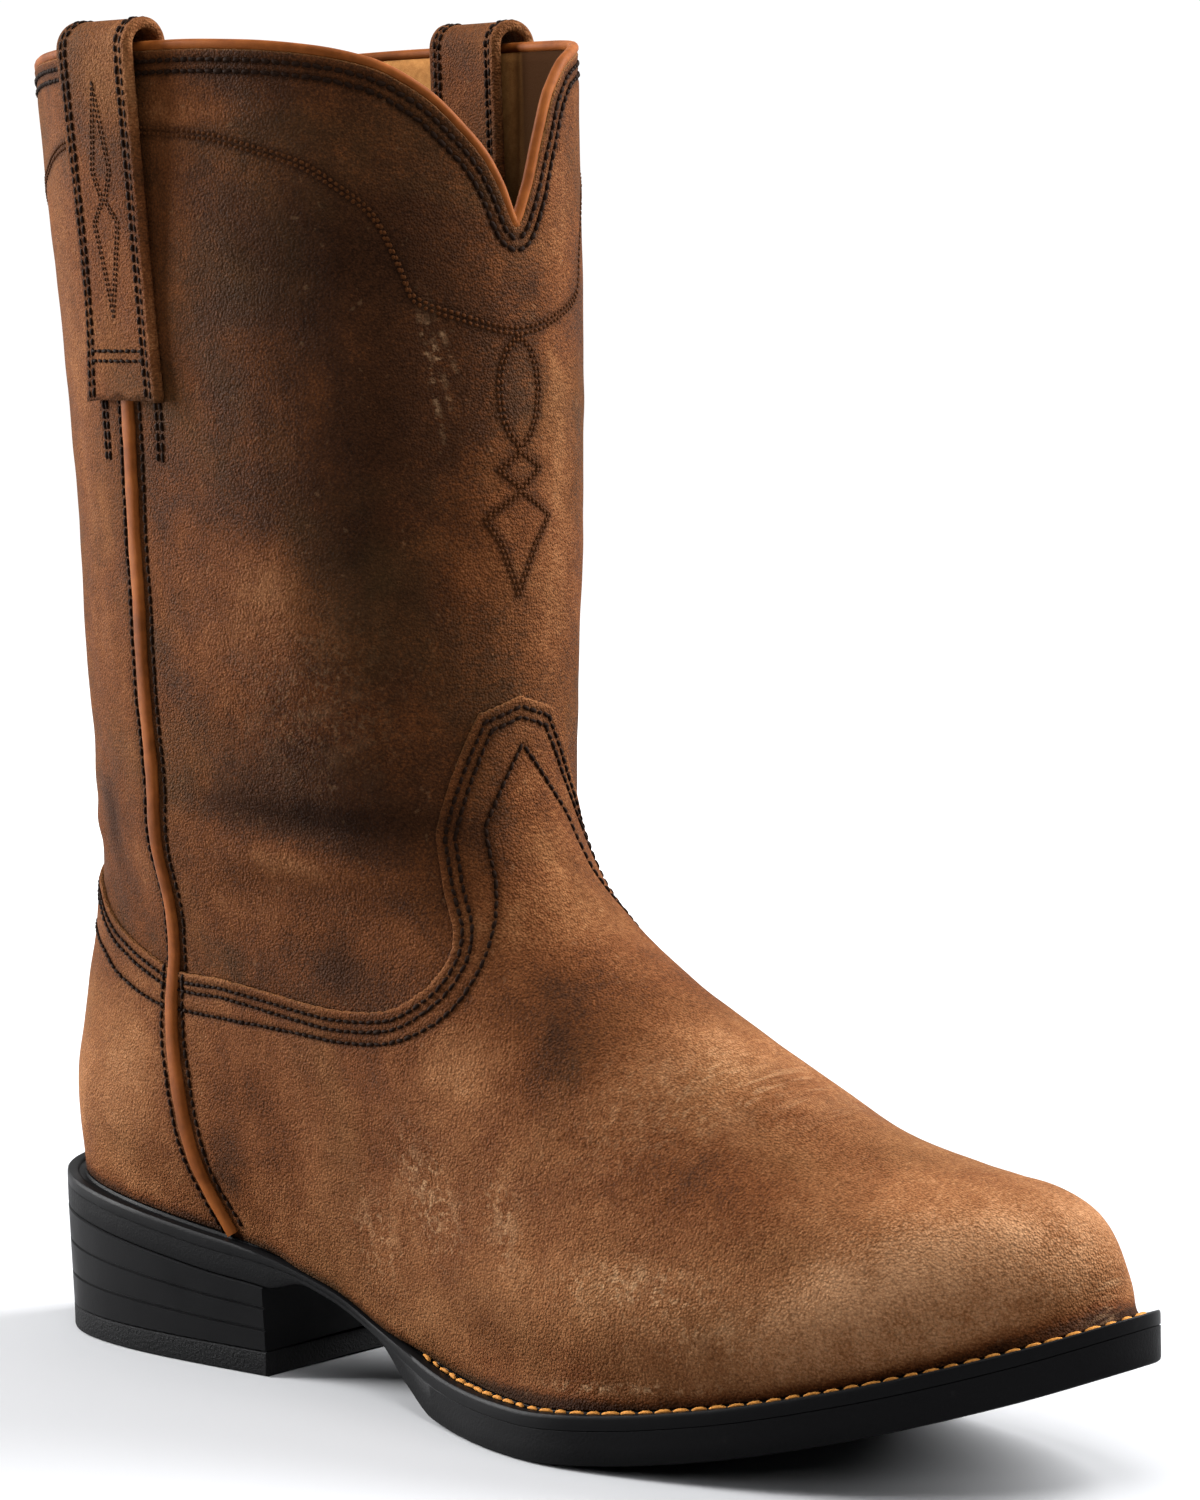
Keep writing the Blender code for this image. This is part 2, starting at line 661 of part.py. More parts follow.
def capped_loft(name, finish, rings):
    count = len(rings[0])
    faces = bands(rings, False) + ladder(0, count) + ladder((len(rings) - 1) * count, count)
    return new_mesh_object(name, finish, np.vstack(rings), faces)


def ring_loft(name, finish, rings):
    return new_mesh_object(name, finish, np.vstack(rings), bands(rings, True))


def make_upper():
    around = columns_around(RING_COLUMNS)
    rings = outer_rings(around) + lining_rings(around)[::-1]
    return ring_loft("upper", "leather", rings)


def make_insole():
    """A footbed that stays inside the lining at both of its faces."""
    foot, above = lining_rings(columns_around(RING_COLUMNS))[:2]
    share = np.clip(INSOLE_THICKNESS / (above[:, 2] - foot[:, 2]), 0.0, 1.0)[:, None]
    plans = [foot[:, :2], foot[:, :2] + (above - foot)[:, :2] * share]
    middle = plans[0].mean(0)
    reach = [np.linalg.norm(plan - middle, axis=1) for plan in plans]
    plan = inset(np.where((reach[1] < reach[0])[:, None], plans[1], plans[0]), INSOLE_GAP)
    half = RING_COLUMNS // 2
    ring = rungs(plan[:half + 1], np.vstack([plan[:1], plan[:half - 1:-1]]), SOLE_COLUMNS)
    bottom = on_face(ring, lambda x: sole_top(x) + CLEARANCE)
    top = on_face(ring, lambda x: sole_top(x) + CLEARANCE + INSOLE_THICKNESS)
    return capped_loft("insole", "footbed", [bottom, top])


def make_welt():
    """A flat strip round the sole edge that the upper stands on."""
    edge = sole_ring()
    seat = sole_ring(WELT_SEAT)
    rings = [
        on_face(edge, lambda x: outsole_top(x) + CLEARANCE),
        on_face(edge, sole_top),
        on_face(seat, sole_top),
        on_face(seat, lambda x: outsole_top(x) + CLEARANCE),
    ]
    return ring_loft("welt", "rubber", rings)


def make_outsole():
    """The sole plate, with a raised middle that fills the welt."""
    edge = sole_ring()
    plug = sole_ring(WELT_SEAT + CLEARANCE)
    rings = [
        on_face(sole_ring(SOLE_CHAMFER), outsole_bottom),
        on_face(edge, lambda x: outsole_bottom(x) + SOLE_CHAMFER),
        on_face(edge, outsole_top),
        on_face(plug, outsole_top),
        on_face(plug, sole_top),
    ]
    return capped_loft("outsole", "rubber", rings)


def heel_ring(distance):
    """Plan of the heel: the sole's outline back of the breast, and the breast."""
    outer, inner = inset_sides(distance)
    sides = []
    for side in (outer, inner):
        behind = side[side[:, 0] < HEEL_LENGTH]
        corner = [HEEL_LENGTH, np.interp(HEEL_LENGTH, side[::-1, 0], side[::-1, 1])]
        sides.append(resample(np.vstack([corner, behind]), HEEL_COLUMNS // 2))
    middle = [HEEL_LENGTH - BREAST_HOLLOW, (sides[0][0, 1] + sides[1][0, 1]) / 2.0]
    return np.vstack([middle, sides[0], sides[1][-2::-1]])


def heel_top(x):
    return outsole_bottom(x) - CLEARANCE


def make_heel_stack():
    """The heel block, banded by grooves that fan out to the back."""
    base = CAP_THICKNESS + CLEARANCE
    rings = []

    def add(share, distance, shift=0.0):
        ring = heel_ring(distance + HEEL_TAPER * (1.0 - share))
        rings.append(on_face(ring, lambda x: base + shift + share * (heel_top(x) - base)))

    add(0.0, 0.0)
    for band in range(1, HEEL_BANDS):
        share = band / HEEL_BANDS
        add(share, 0.0, -GROOVE)
        add(share, GROOVE)
        add(share, 0.0, GROOVE)
    add(1.0, 0.0)
    return capped_loft("heel_stack", "rubber", rings)


def make_heel_cap():
    """The top lift that stands on the floor."""
    rings = []
    for distance, height in ((SOLE_CHAMFER, 0.0), (0.0, SOLE_CHAMFER), (0.0, CAP_THICKNESS)):
        ring = heel_ring(HEEL_TAPER + distance)
        rings.append(np.column_stack([ring, np.full(len(ring), height)]))
    return capped_loft("heel_cap", "lift rubber", rings)


def make_collar_binding():
    """A cord on the leather's top edge, as round the collar's two Vs."""
    around = columns_around(RING_COLUMNS)
    height = collar_height(around)
    depth = shaft_depth(around, height)
    rim = LAST.at(around, height, depth + WALL / 2.0)
    face = LAST.outward(around, height)
    ahead = unit(np.roll(rim, -1, 0) - rim)
    behind = unit(rim - np.roll(rim, 1, 0))
    along = unit(ahead + behind)
    mitre = 1.0 / np.maximum((along * ahead).sum(1), MITRE_LIMIT)
    above = unit(np.cross(along, face))
    above = above * np.sign(above[:, 2:3])
    path = rim + above * ((BINDING_RADIUS + CLEARANCE) * mitre)[:, None]
    curve = bpy.data.curves.new("collar_binding", "CURVE")
    curve.dimensions = "3D"
    curve.bevel_depth = BINDING_RADIUS
    curve.bevel_resolution = CORD_SEGMENTS
    spline = curve.splines.new("POLY")
    spline.points.add(len(path) - 1)
    for point, place in zip(spline.points, path):
        point.co = (*place, 1.0)
    spline.use_cyclic_u = True
    return add_object("collar_binding", "tan leather", curve)


def strip(name, finish, sections):
    """A solid through open sections, closed at both ends."""
    count = len(sections[0])
    faces = bands(sections, False)
    faces.append(tuple(range(count)))
    last = (len(sections) - 1) * count
    faces.append(tuple(range(last, last + count)))
    return new_mesh_object(name, finish, np.vstack(sections), faces)


def make_side_piping(name, side):
    """A half-round cord up the side seam, from the sole to the strap."""
    low = LAST.level(0.0) + PIPING_FOOT
    high = LAST.level(PIPING_END)
    heights = np.linspace(low, high, PIPING_SECTIONS)
    around = seam_around(heights, side)
    centre = LAST.face(around, heights)
    along = unit(np.gradient(centre, axis=0))
    out = LAST.outward(around, heights)
    across = unit(np.cross(along, out))
    edge = edge_height(around)
    depth = OVERLAY * smooth(heights, edge, edge + PIPING_RAMP)
    depth = np.minimum(depth, shaft_depth(around, heights))
    sections = []
    for i in range(PIPING_SECTIONS):
        base = centre[i] - out[i] * (depth[i] - PIPING_SEAT)
        sections.append([base + across[i] * row.across * PIPING_WIDTH
                         + out[i] * row.out * PIPING_HEIGHT for row in PIPING_PROFILE])
    return strip(name, "tan leather", np.array(sections))


def strap_depths(share):
    """How far the strap's middle lies over the wall and under the lining."""
    stand = smooth(share, STRAP_SEWN, 1.0)
    half = STRAP_THICKNESS / 2.0 + CLEARANCE
    return half + STRAP_STAND_OUT * stand, half + STRAP_STAND_IN * stand


def strap_line(side, offset):
    """The strap's middle line: up the wall, over the collar and down inside."""
    shares = np.linspace(STRAP_HEM, 1.0, STRAP_LEG_ROWS)
    heights = LAST.level(shares)
    around = seam_around(heights, side) + offset * table_curve(STRAP_FLARE, shares) / SHAFT_GIRTH
    over, under = strap_depths(shares)
    wall = LAST.face(around, heights)
    out = LAST.outward(around, heights)
    depth = shaft_depth(around, heights)[:, None]
    outer = wall + out * (over[:, None] - depth)
    inner = wall - out * (WALL + under[:, None] + depth)
    rise = np.array([0.0, 0.0, STRAP_RISE])
    first = outer[-1] + rise
    last = inner[-1] + rise
    middle = (first + last) / 2.0
    radius = np.linalg.norm(first - last) / 2.0
    outward = unit(first - last)
    angles = np.linspace(0.0, math.pi, STRAP_BEND_ROWS)[:, None]
    bend = middle + radius * (outward * np.cos(angles) + np.array([0.0, 0.0, 1.0]) * np.sin(angles))
    return np.vstack([outer, bend, inner[::-1]])


def make_pull_strap(name, side):
    """A looped strap over the collar at the side seam."""
    offsets = np.linspace(-0.5, 0.5, STRAP_ACROSS + 1) * STRAP_WIDTH
    lines = np.array([strap_line(side, offset) for offset in offsets])
    rows = lines.shape[1]
    points = lines.reshape(-1, 3)
    faces = []
    for i in range(STRAP_ACROSS):
        for j in range(rows - 1):
            a = i * rows + j
            faces.append((a, a + 1, a + rows + 1, a + rows))
    made = new_mesh_object(name, "strap leather", points, faces)
    shell = made.modifiers.new("thickness", "SOLIDIFY")
    shell.thickness = STRAP_THICKNESS
    shell.offset = 0.0
    shell.use_even_offset = True
    return made


def clear_scene():
    for old in list(bpy.data.objects):
        bpy.data.objects.remove(old, do_unlink=True)


def new_collection(name):
    made = bpy.data.collections.new(name)
    bpy.context.scene.collection.children.link(made)
    return made


clear_scene()
PARTS = new_collection("roper_boot")
make_outsole()
make_welt()
make_heel_stack()
make_heel_cap()
make_insole()
make_upper()
make_collar_binding()
make_side_piping("piping_lateral", 1)
make_side_piping("piping_medial", -1)
make_pull_strap("pull_strap_lateral", 1)
make_pull_strap("pull_strap_medial", -1)
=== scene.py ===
import math
from collections import namedtuple

import bpy
import numpy as np
from mathutils import Matrix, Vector
from mathutils.kdtree import KDTree


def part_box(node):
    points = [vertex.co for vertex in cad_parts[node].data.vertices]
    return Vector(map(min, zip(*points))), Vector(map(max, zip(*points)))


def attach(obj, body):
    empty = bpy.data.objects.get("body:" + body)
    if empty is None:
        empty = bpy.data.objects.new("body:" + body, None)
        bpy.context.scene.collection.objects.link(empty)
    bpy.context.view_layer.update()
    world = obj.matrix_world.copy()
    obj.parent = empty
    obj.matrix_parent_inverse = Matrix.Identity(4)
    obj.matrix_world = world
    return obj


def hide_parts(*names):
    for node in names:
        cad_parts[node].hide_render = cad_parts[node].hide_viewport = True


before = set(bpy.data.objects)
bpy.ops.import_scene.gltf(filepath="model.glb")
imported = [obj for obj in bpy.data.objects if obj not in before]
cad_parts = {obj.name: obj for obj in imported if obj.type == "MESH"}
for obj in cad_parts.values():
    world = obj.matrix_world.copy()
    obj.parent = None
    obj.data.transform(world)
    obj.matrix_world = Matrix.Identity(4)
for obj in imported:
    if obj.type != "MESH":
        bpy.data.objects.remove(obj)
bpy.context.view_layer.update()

SHIFT = np.array([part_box("outsole")[0][0], 0.0, 0.0])
MM = 0.001


def rows_of(columns, *rows):
    """The rows of a table whose columns have names."""
    row_type = namedtuple("Row", columns)
    return [row_type(*row) for row in rows]



# Sizes of the sole and the upper, in metres
SOLE_LENGTH = 0.304
BALL_WIDTH = 0.097
WAIST_WIDTH = 0.057
HEEL_WIDTH = 0.063
TOE_SWING = 0.0139
HEEL_HEIGHT = 0.0398
HEEL_LENGTH = 0.0860
TOE_SPRING = 0.0262
BOOT_HEIGHT = 0.301
SHAFT_LENGTH = 0.148
SHAFT_WIDTH = 0.104
SHAFT_TURN = math.radians(-7.3)
FRONT_DIP = 0.0405
BACK_DIP = 0.0240
WALL = 0.0019
OVERLAY = 0.0011
OVERLAY_FADE = 0.045
WELT_THICKNESS = 0.0030
WELT_MARGIN = 0.0045
WELT_SEAT = 0.0115
BALL_THICKNESS = 0.0079
SHANK_THICKNESS = 0.0014     # outsole under the waist
SHANK_WELT = 0.0013          # welt at the waist
SHANK_MARGIN = 0.0008        # sole edge beyond the upper at the waist
SEAT_THICKNESS = 0.0055
CAP_THICKNESS = 0.0057
HEEL_TAPER = 0.0006
BREAST_HOLLOW = 0.0015
INSOLE_THICKNESS = 0.0028
CLEARANCE = 0.0003
HEEL_BANDS = 3
SHAFT_AXIS = 0.275 * SOLE_LENGTH
SHAFT_GIRTH = math.pi / 2.0 * (SHAFT_LENGTH + SHAFT_WIDTH)
BALL_TOP = BALL_THICKNESS + WELT_THICKNESS

# Trim
CORD_RADIUS = 0.0013
PIPING_WIDTH = 0.0048
PIPING_HEIGHT = 0.0021
PIPING_FILL = 0.46           # half the cord's width, in shares of the piping's
PIPING_END = 0.715
PIPING_EASE = 24             # rows over which the cord rides out a step
STRAP_WIDTH = 0.0255         # strap at the collar
STRAP_THICKNESS = 0.0027
STRAP_STAND_OUT = 0.0025
STRAP_STAND_IN = 0.0020
STRAP_RISE = 0.0015
STRAP_HEM = 0.708
STRAP_SEWN = 0.755
SEWN_HEIGHT = 0.28           # a place where the strap lies on the shaft
STRAP_LEG_ROWS = 70
STRAP_BEND_ROWS = 26
STRAP_COLUMNS = 30
RUN_ROWS = 150               # rows of the strap that its long stitch rows follow
MOTIF_FROM = 0.2425
MOTIF_TO = 0.2955
STRAP_NEAR = 0.0004          # step to either side for reading the strap's face
INNER_SEAM_SHIFT = 0.022

# Rows of stitches: how far each lies from the edge or the middle line it follows
EDGE_OFFSETS = (0.0021, 0.0043)
COLLAR_OFFSETS = (0.0022, 0.0047)
SEAM_OFFSETS = (-0.0040, 0.0044)
TAIL_OFFSETS = (-0.0122, -0.0104, 0.0104, 0.0122)
YOKE_OFFSETS = (-0.00063, 0.00063)
MEDAL_OFFSETS = (0.0, -0.0011)
STRAP_OFFSETS = (0.0090, 0.0106)
MOTIF_OFFSETS = (0.0, 0.0010)
STRAP_CROSSINGS = (0.742, 0.751)     # shares of the leg's height
CROSSING_REACH = 0.0100
TAIL_FROM = 0.2105
TAIL_TO = 0.2300
WELT_ROW = 0.0035
WELT_ROW_FROM = 0.452        # share of the sole's length where its stitches start

# Stitches as beads, and how high each sits on the leather
STITCH = "gap length width high seat"
(HEAVY_STITCH, COLLAR_STITCH, FINE_STITCH, STRAP_STITCH, MOTIF_STITCH, WELT_STITCH) = rows_of(
    STITCH,
    (0.0023, 0.0019, 0.00084, 0.00034, 0.00012),
    (0.0024, 0.0020, 0.00100, 0.00036, 0.00018),
    (0.0015, 0.00095, 0.00078, 0.00026, 0.00002),
    (0.0023, 0.00185, 0.00080, 0.00034, 0.0),
    (0.0012, 0.00080, 0.00050, 0.00018, 0.0),
    (0.0043, 0.0036, 0.0012, 0.00045, 0.0),
)

# Fineness
FINE_COLUMNS = 384
SIDE_SAMPLES = 240
LEATHER_COLUMNS = 420
FOOT_ROWS = 150
SHAFT_ROWS = 190
LINING_COLUMNS = 200
LINING_ROWS = 110
SOLE_COLUMNS = 400
BINDING_COLUMNS = 900
PIPING_ROWS = 420
CORD_SIDES = 14
SLOPE_STEP = 0.0008
CROWDING = 0.30

SOLE_HEIGHTS = rows_of("station heel_share toe_share",
    (-0.05, 1.068, 0.000),
    (0.00, 1.000, 0.000),
    (0.10, 0.865, 0.000),
    (0.20, 0.730, 0.000),
    (0.28, 0.622, 0.000),
    (0.35, 0.440, 0.000),
    (0.41, 0.205, 0.000),
    (0.45, 0.097, 0.000),
    (0.49, 0.026, 0.000),
    (0.52, 0.004, 0.000),
    (0.55, 0.000, 0.000),
    (0.60, 0.000, 0.000),
    (0.66, 0.000, 0.045),
    (0.75, 0.000, 0.190),
    (0.85, 0.000, 0.450),
    (0.95, 0.000, 0.790),
    (1.00, 0.000, 1.000),
    (1.05, 0.000, 1.220),
)

SOLE_PLAN = rows_of("station width outer inner",
    (0.00, HEEL_WIDTH, 0.500, 0.500),
    (0.12, HEEL_WIDTH, 0.500, 0.500),
    (0.36, WAIST_WIDTH, 0.520, 0.480),
    (0.66, BALL_WIDTH, 0.562, 0.438),
    (1.00, BALL_WIDTH, 0.562, 0.438),
)
HEEL_ROUND = 9.0
TOE_ROUND = 2.2

SOLE_THICKNESSES = rows_of("station outsole welt margin",
    (0.000, SEAT_THICKNESS, WELT_THICKNESS, WELT_MARGIN),
    (0.220, SEAT_THICKNESS, WELT_THICKNESS, WELT_MARGIN),
    (0.285, SEAT_THICKNESS, 0.0021, 0.0028),
    (0.330, SHANK_THICKNESS, SHANK_WELT, SHANK_MARGIN),
    (0.405, SHANK_THICKNESS, SHANK_WELT, SHANK_MARGIN),
    (0.445, 0.0052, 0.0024, 0.0032),
    (0.485, BALL_THICKNESS, WELT_THICKNESS, WELT_MARGIN),
    (1.000, BALL_THICKNESS, WELT_THICKNESS, WELT_MARGIN),
)

FOOT_LEVELS = rows_of(
    "name back front back_up front_up follow heel "
    "waist_out ball_out waist_in ball_in back_round front_round turn",
    ("rise", 0.0085, 0.9750, 0.032, 0.014, 1.00,
     0.285, 0.335, 0.508, 0.297, 0.432, 8.0, 2.90, 0.00),
    ("side", 0.0085, 0.9715, 0.065, 0.041, 0.90,
     0.315, 0.353, 0.518, 0.316, 0.442, 7.0, 2.90, 0.00),
    ("shoulder", 0.0100, 0.9560, 0.104, 0.082, 0.80,
     0.326, 0.362, 0.497, 0.330, 0.434, 6.0, 2.80, 0.00),
    ("toe top", 0.0145, 0.9110, 0.144, 0.118, 0.65,
     0.332, 0.370, 0.457, 0.343, 0.420, 5.0, 2.75, 0.05),
    ("vamp low", 0.0175, 0.8385, 0.181, 0.151, 0.50,
     0.330, 0.380, 0.431, 0.360, 0.398, 4.5, 2.65, 0.12),
    ("vamp middle", 0.0205, 0.7630, 0.216, 0.197, 0.40,
     0.336, 0.385, 0.400, 0.370, 0.388, 4.0, 2.50, 0.25),
    ("vamp high", 0.0230, 0.6835, 0.256, 0.250, 0.30,
     0.346, 0.396, 0.382, 0.380, 0.376, 3.5, 2.30, 0.40),
    ("instep low", 0.0280, 0.6085, 0.295, 0.297, 0.20,
     0.358, 0.406, 0.375, 0.392, 0.373, 3.1, 2.20, 0.55),
    ("instep top", 0.0305, 0.5430, 0.338, 0.352, 0.12,
     0.380, 0.423, 0.388, 0.412, 0.382, 2.9, 2.10, 0.70),
)

SHAFT_LEVELS = rows_of("name back front back_up front_up heel middle shin round turn",
    ("throat", 0.487, 0.483, 0.465, 0.444, 0.383, 0.407, 0.387, 2.45, 0.85),
    ("ankle", 0.481, 0.473, 0.525, 0.521, 0.413, 0.424, 0.418, 2.45, 1.00),
    ("leg", 0.480, 0.478, 0.631, 0.631, 0.430, 0.443, 0.442, 2.35, 0.95),
    ("calf", 0.490, 0.473, 0.798, 0.798, 0.451, 0.472, 0.471, 2.35, 0.75),
    ("collar", 0.518, 0.466, 1.000, 1.000, 0.476, 0.500, 0.497, 2.30, 0.60),
)
HALF_STATIONS = (0.0, 0.12, 0.42, 0.70, 1.0)
BLEND_FROM = 0.3
BLEND_TO = 0.6

# Lines on the upper: around runs from the front (0) by the outer side to the back
# (0.5), and a line's height is in metres up the boot. Both sides are alike.
LINE = "around height"
TONGUE_LINE = rows_of(LINE,
    (0.0000, 0.1589),
    (0.0290, 0.1557),
    (0.0645, 0.1337),
)
VAMP_LINE = rows_of(LINE,
    (0.0645, 0.1337),
    (0.0715, 0.1261),
    (0.0860, 0.1150),
    (0.1140, 0.1073),
    (0.1500, 0.1008),
    (0.1890, 0.0955),
    (0.2500, 0.0916),
    (0.3100, 0.0898),
    (0.3620, 0.0874),
    (0.4070, 0.0915),
    (0.4390, 0.0988),
    (0.5000, 0.1032),
)
INNER_ROW = rows_of(LINE,
    (0.000, 0.1492),
    (0.033, 0.1349),
    (0.0415, 0.1246),
    (0.061, 0.1158),
    (0.106, 0.1047),
    (0.158, 0.0953),
    (0.205, 0.0892),
    (0.269, 0.0845),
    (0.359, 0.0789),
    (0.386, 0.0780),
    (0.417, 0.0801),
    (0.438, 0.0845),
    (0.500, 0.0890),
)
YOKE_ROW = rows_of(LINE,
    (0.000, 0.2383),
    (0.045, 0.2424),
    (0.065, 0.2459),
    (0.074, 0.2541),
    (0.087, 0.2641),
    (0.104, 0.2697),
    (0.126, 0.2752),
    (0.156, 0.2790),
    (0.190, 0.2822),
    (0.246, 0.2840),
    (0.320, 0.2815),
    (0.380, 0.2745),
    (0.420, 0.2665),
    (0.450, 0.2590),
    (0.500, 0.2550),
)

DIP = rows_of("away outer inner",
    (0.000, 1.000, 1.000),
    (0.013, 0.770, 0.790),
    (0.022, 0.630, 0.560),
    (0.036, 0.480, 0.280),
    (0.057, 0.290, 0.120),
    (0.086, 0.135, 0.055),
    (0.119, 0.060, 0.025),
    (0.160, 0.018, 0.008),
    (0.210, 0.000, 0.000),
    (0.250, 0.000, 0.000),
)

SIDE_SEAM = rows_of("height around",
    (0.000, 0.3760),
    (0.030, 0.3815),
    (0.070, 0.3850),
    (0.100, 0.3862),
    (0.125, 0.3840),
    (0.150, 0.3760),
    (0.175, 0.3650),
    (0.225, 0.3390),
    (0.260, 0.3200),
    (0.290, 0.3050),
    (0.330, 0.2910),
    (0.370, 0.2828),
    (0.440, 0.2775),
    (0.520, 0.2765),
    (0.600, 0.2755),
    (0.700, 0.2720),
    (1.000, 0.2600),
)

# Strap's width, in shares of its width at the collar
STRAP_FLARE = rows_of("height width",
    (0.700, 1.21),
    (0.745, 1.12),
    (0.785, 1.05),
    (0.840, 1.01),
    (1.000, 1.00),
)

# Medallion on the front of the leg: half width and height in metres
MEDAL = "out height"
OVAL = rows_of(MEDAL,
    (0.0000, 0.2378),
    (0.0038, 0.2345),
    (0.0057, 0.2305),
    (0.0064, 0.2255),
    (0.0057, 0.2200),
    (0.0036, 0.2158),
    (0.0000, 0.2122),
)
DIAMOND = rows_of(MEDAL,
    (0.0000, 0.2122),
    (0.0068, 0.2083),
    (0.0000, 0.2036),
)
LANCE = rows_of(MEDAL,
    (0.0000, 0.2036),
    (0.0104, 0.1977),
    (0.0062, 0.1925),
    (0.0000, 0.1800),
)
STRAP_LANCE = rows_of(MEDAL,
    (0.0000, 0.2960),
    (0.0015, 0.2880),
    (0.0036, 0.2755),
    (0.0010, 0.2690),
    (0.0048, 0.2640),
    (0.0000, 0.2420),
)

# Soft marks on the leather. Wide and high are in millimetres, slant in degrees and
# amount in millimetres of relief or in shares of tone.
MARK = "around height wide high slant amount"
FOLDS = rows_of(MARK,
    (0.172, 0.1235, 24, 3.6, 4, 0.9),
    (0.235, 0.1195, 16, 4.0, -8, 0.4),
    (0.150, 0.1320, 28, 4.2, 2, -0.9),
    (0.100, 0.1180, 12, 5.0, 40, 0.35),
    (0.210, 0.1040, 22, 5.0, 4, -0.35),
    (0.400, 0.1240, 18, 4.5, 0, -0.5),
    (0.445, 0.1160, 16, 4.0, 0, 0.4),
    (0.500, 0.1290, 18, 5.0, 0, -0.5),
    (0.052, 0.2200, 4.5, 34, 0, -0.35),
    (0.085, 0.2150, 5.0, 30, 3, 0.30),
    (0.966, 0.1900, 7.0, 24, 0, -0.40),
    (0.850, 0.1230, 24, 4.0, -4, 0.8),
    (0.860, 0.1320, 26, 4.4, 0, -0.8),
    (0.760, 0.1150, 20, 5.0, 6, 0.5),
    (0.620, 0.1260, 20, 4.6, 0, -0.5),
    (0.004, 0.1270, 13, 2.0, 2, -0.35),
    (0.010, 0.1215, 15, 1.8, -3, 0.28),
    (0.990, 0.1165, 15, 1.9, 3, -0.35),
    (0.010, 0.1110, 16, 2.0, -2, 0.25),
    (0.000, 0.1060, 17, 2.4, 2, -0.30),
    (0.090, 0.0760, 26, 8, 20, -0.30),
    (0.300, 0.0640, 22, 9, 0, 0.30),
    (0.880, 0.0800, 26, 8, -10, -0.35),
    (0.420, 0.0700, 14, 12, 0, 0.30),
)
# Tones: the leather's own uneven colour, and painted shade and light on the ankle folds and along
# the upper's foot
TONES_AND_SHADING = rows_of(MARK,
    (0.100, 0.2450, 34, 40, 0, -0.13),
    (0.110, 0.1700, 30, 40, 0, -0.08),
    (0.220, 0.2300, 30, 46, 0, -0.04),
    (0.330, 0.2000, 24, 90, 0, 0.06),
    (0.985, 0.1500, 9, 60, 0, 0.05),
    (0.157, 0.1853, 11, 8, 10, 0.17),
    (0.150, 0.1800, 26, 16, 0, 0.07),
    (0.203, 0.1712, 16, 20, 0, 0.05),
    (0.139, 0.1613, 22, 14, 20, 0.07),
    (0.361, 0.1249, 7, 9, 0, -0.18),
    (0.340, 0.1100, 8, 9, 0, 0.09),
    (0.087, 0.1897, 16, 26, 0, -0.10),
    (0.115, 0.2201, 12, 14, 0, 0.03),
    (0.111, 0.2568, 20, 12, 0, -0.07),
    (0.060, 0.2500, 12, 12, 0, -0.05),
    (0.219, 0.2023, 12, 16, 0, 0.04),
    (0.188, 0.2878, 30, 3, 0, 0.11),
    (0.110, 0.2865, 26, 7, 12, -0.08),
    (0.964, 0.2184, 7, 50, 0, 0.16),
    (0.345, 0.2300, 14, 60, 0, 0.08),
    (0.958, 0.2700, 10, 18, 0, 0.08),
    (0.015, 0.1888, 11, 20, 0, 0.04),
    # Painted shade in the outer ankle fold's trough and painted light on its ridge
    (0.150, 0.1340, 34, 4.5, 2, -0.17),
    (0.172, 0.1232, 26, 4.0, 2, 0.19),
    (0.237, 0.1100, 18, 8, 0, 0.13),
    (0.196, 0.1032, 9, 5, 10, -0.13),
    (0.094, 0.1202, 8, 10, 0, -0.05),
    (0.120, 0.1120, 16, 6, 10, 0.08),
    (0.033, 0.1334, 8, 8, 0, -0.06),
    (0.010, 0.1180, 13, 14, 0, 0.03),
    (0.020, 0.0950, 30, 16, 0, 0.07),
    (0.100, 0.0500, 40, 10, 0, 0.06),
    (0.000, 0.0400, 12, 8, 0, -0.08),
    (0.150, 0.1500, 40, 18, 0, -0.06),
    (0.084, 0.0965, 15, 14, 0, -0.15),
    (0.150, 0.0900, 12, 8, 0, 0.05),
    (0.173, 0.0860, 10, 8, 0, 0.08),
    (0.341, 0.0687, 14, 6, 0, -0.12),
    (0.365, 0.0517, 8, 13, 0, -0.17),
    (0.330, 0.0600, 10, 8, 0, -0.08),
    (0.242, 0.0672, 16, 10, 0, 0.05),
    (0.092, 0.0748, 20, 10, 20, -0.11),
    (0.008, 0.0865, 16, 10, 0, 0.04),
    (0.060, 0.0860, 16, 9, 20, 0.05),
    (0.005, 0.0968, 14, 9, 0, 0.11),
    (0.012, 0.0766, 24, 5, 0, -0.03),
    (0.160, 0.0593, 20, 8, 0, 0.07),
    (0.028, 0.0628, 26, 9, 0, 0.12),
    (0.001, 0.0560, 20, 10, 0, 0.05),
    (0.078, 0.0580, 20, 8, 0, 0.13),
    (0.424, 0.0619, 16, 22, 0, 0.19),
    (0.470, 0.0560, 18, 18, 0, 0.13),
    (0.392, 0.0930, 6, 6, 0, 0.05),
    # Painted shade along the upper's foot, just above the welt
    (0.023, 0.0414, 30, 2.0, 0, -0.22),
    (0.200, 0.0395, 60, 1.6, 0, -0.15),
    (0.860, 0.1780, 22, 16, 0, 0.14),
    (0.790, 0.2300, 26, 18, 0, -0.11),
    # Painted shade in the inner ankle fold's trough and painted light on its ridge
    (0.840, 0.1330, 34, 4.5, 0, -0.15),
    (0.840, 0.1230, 28, 4.0, 0, 0.15),
    (0.690, 0.0700, 24, 14, 0, -0.10),
    (0.930, 0.0700, 20, 12, 0, 0.08),
    (0.560, 0.0600, 18, 16, 0, 0.12),
    (0.560, 0.2200, 22, 26, 0, 0.08),
    (0.460, 0.2300, 16, 34, 0, 0.06),
)
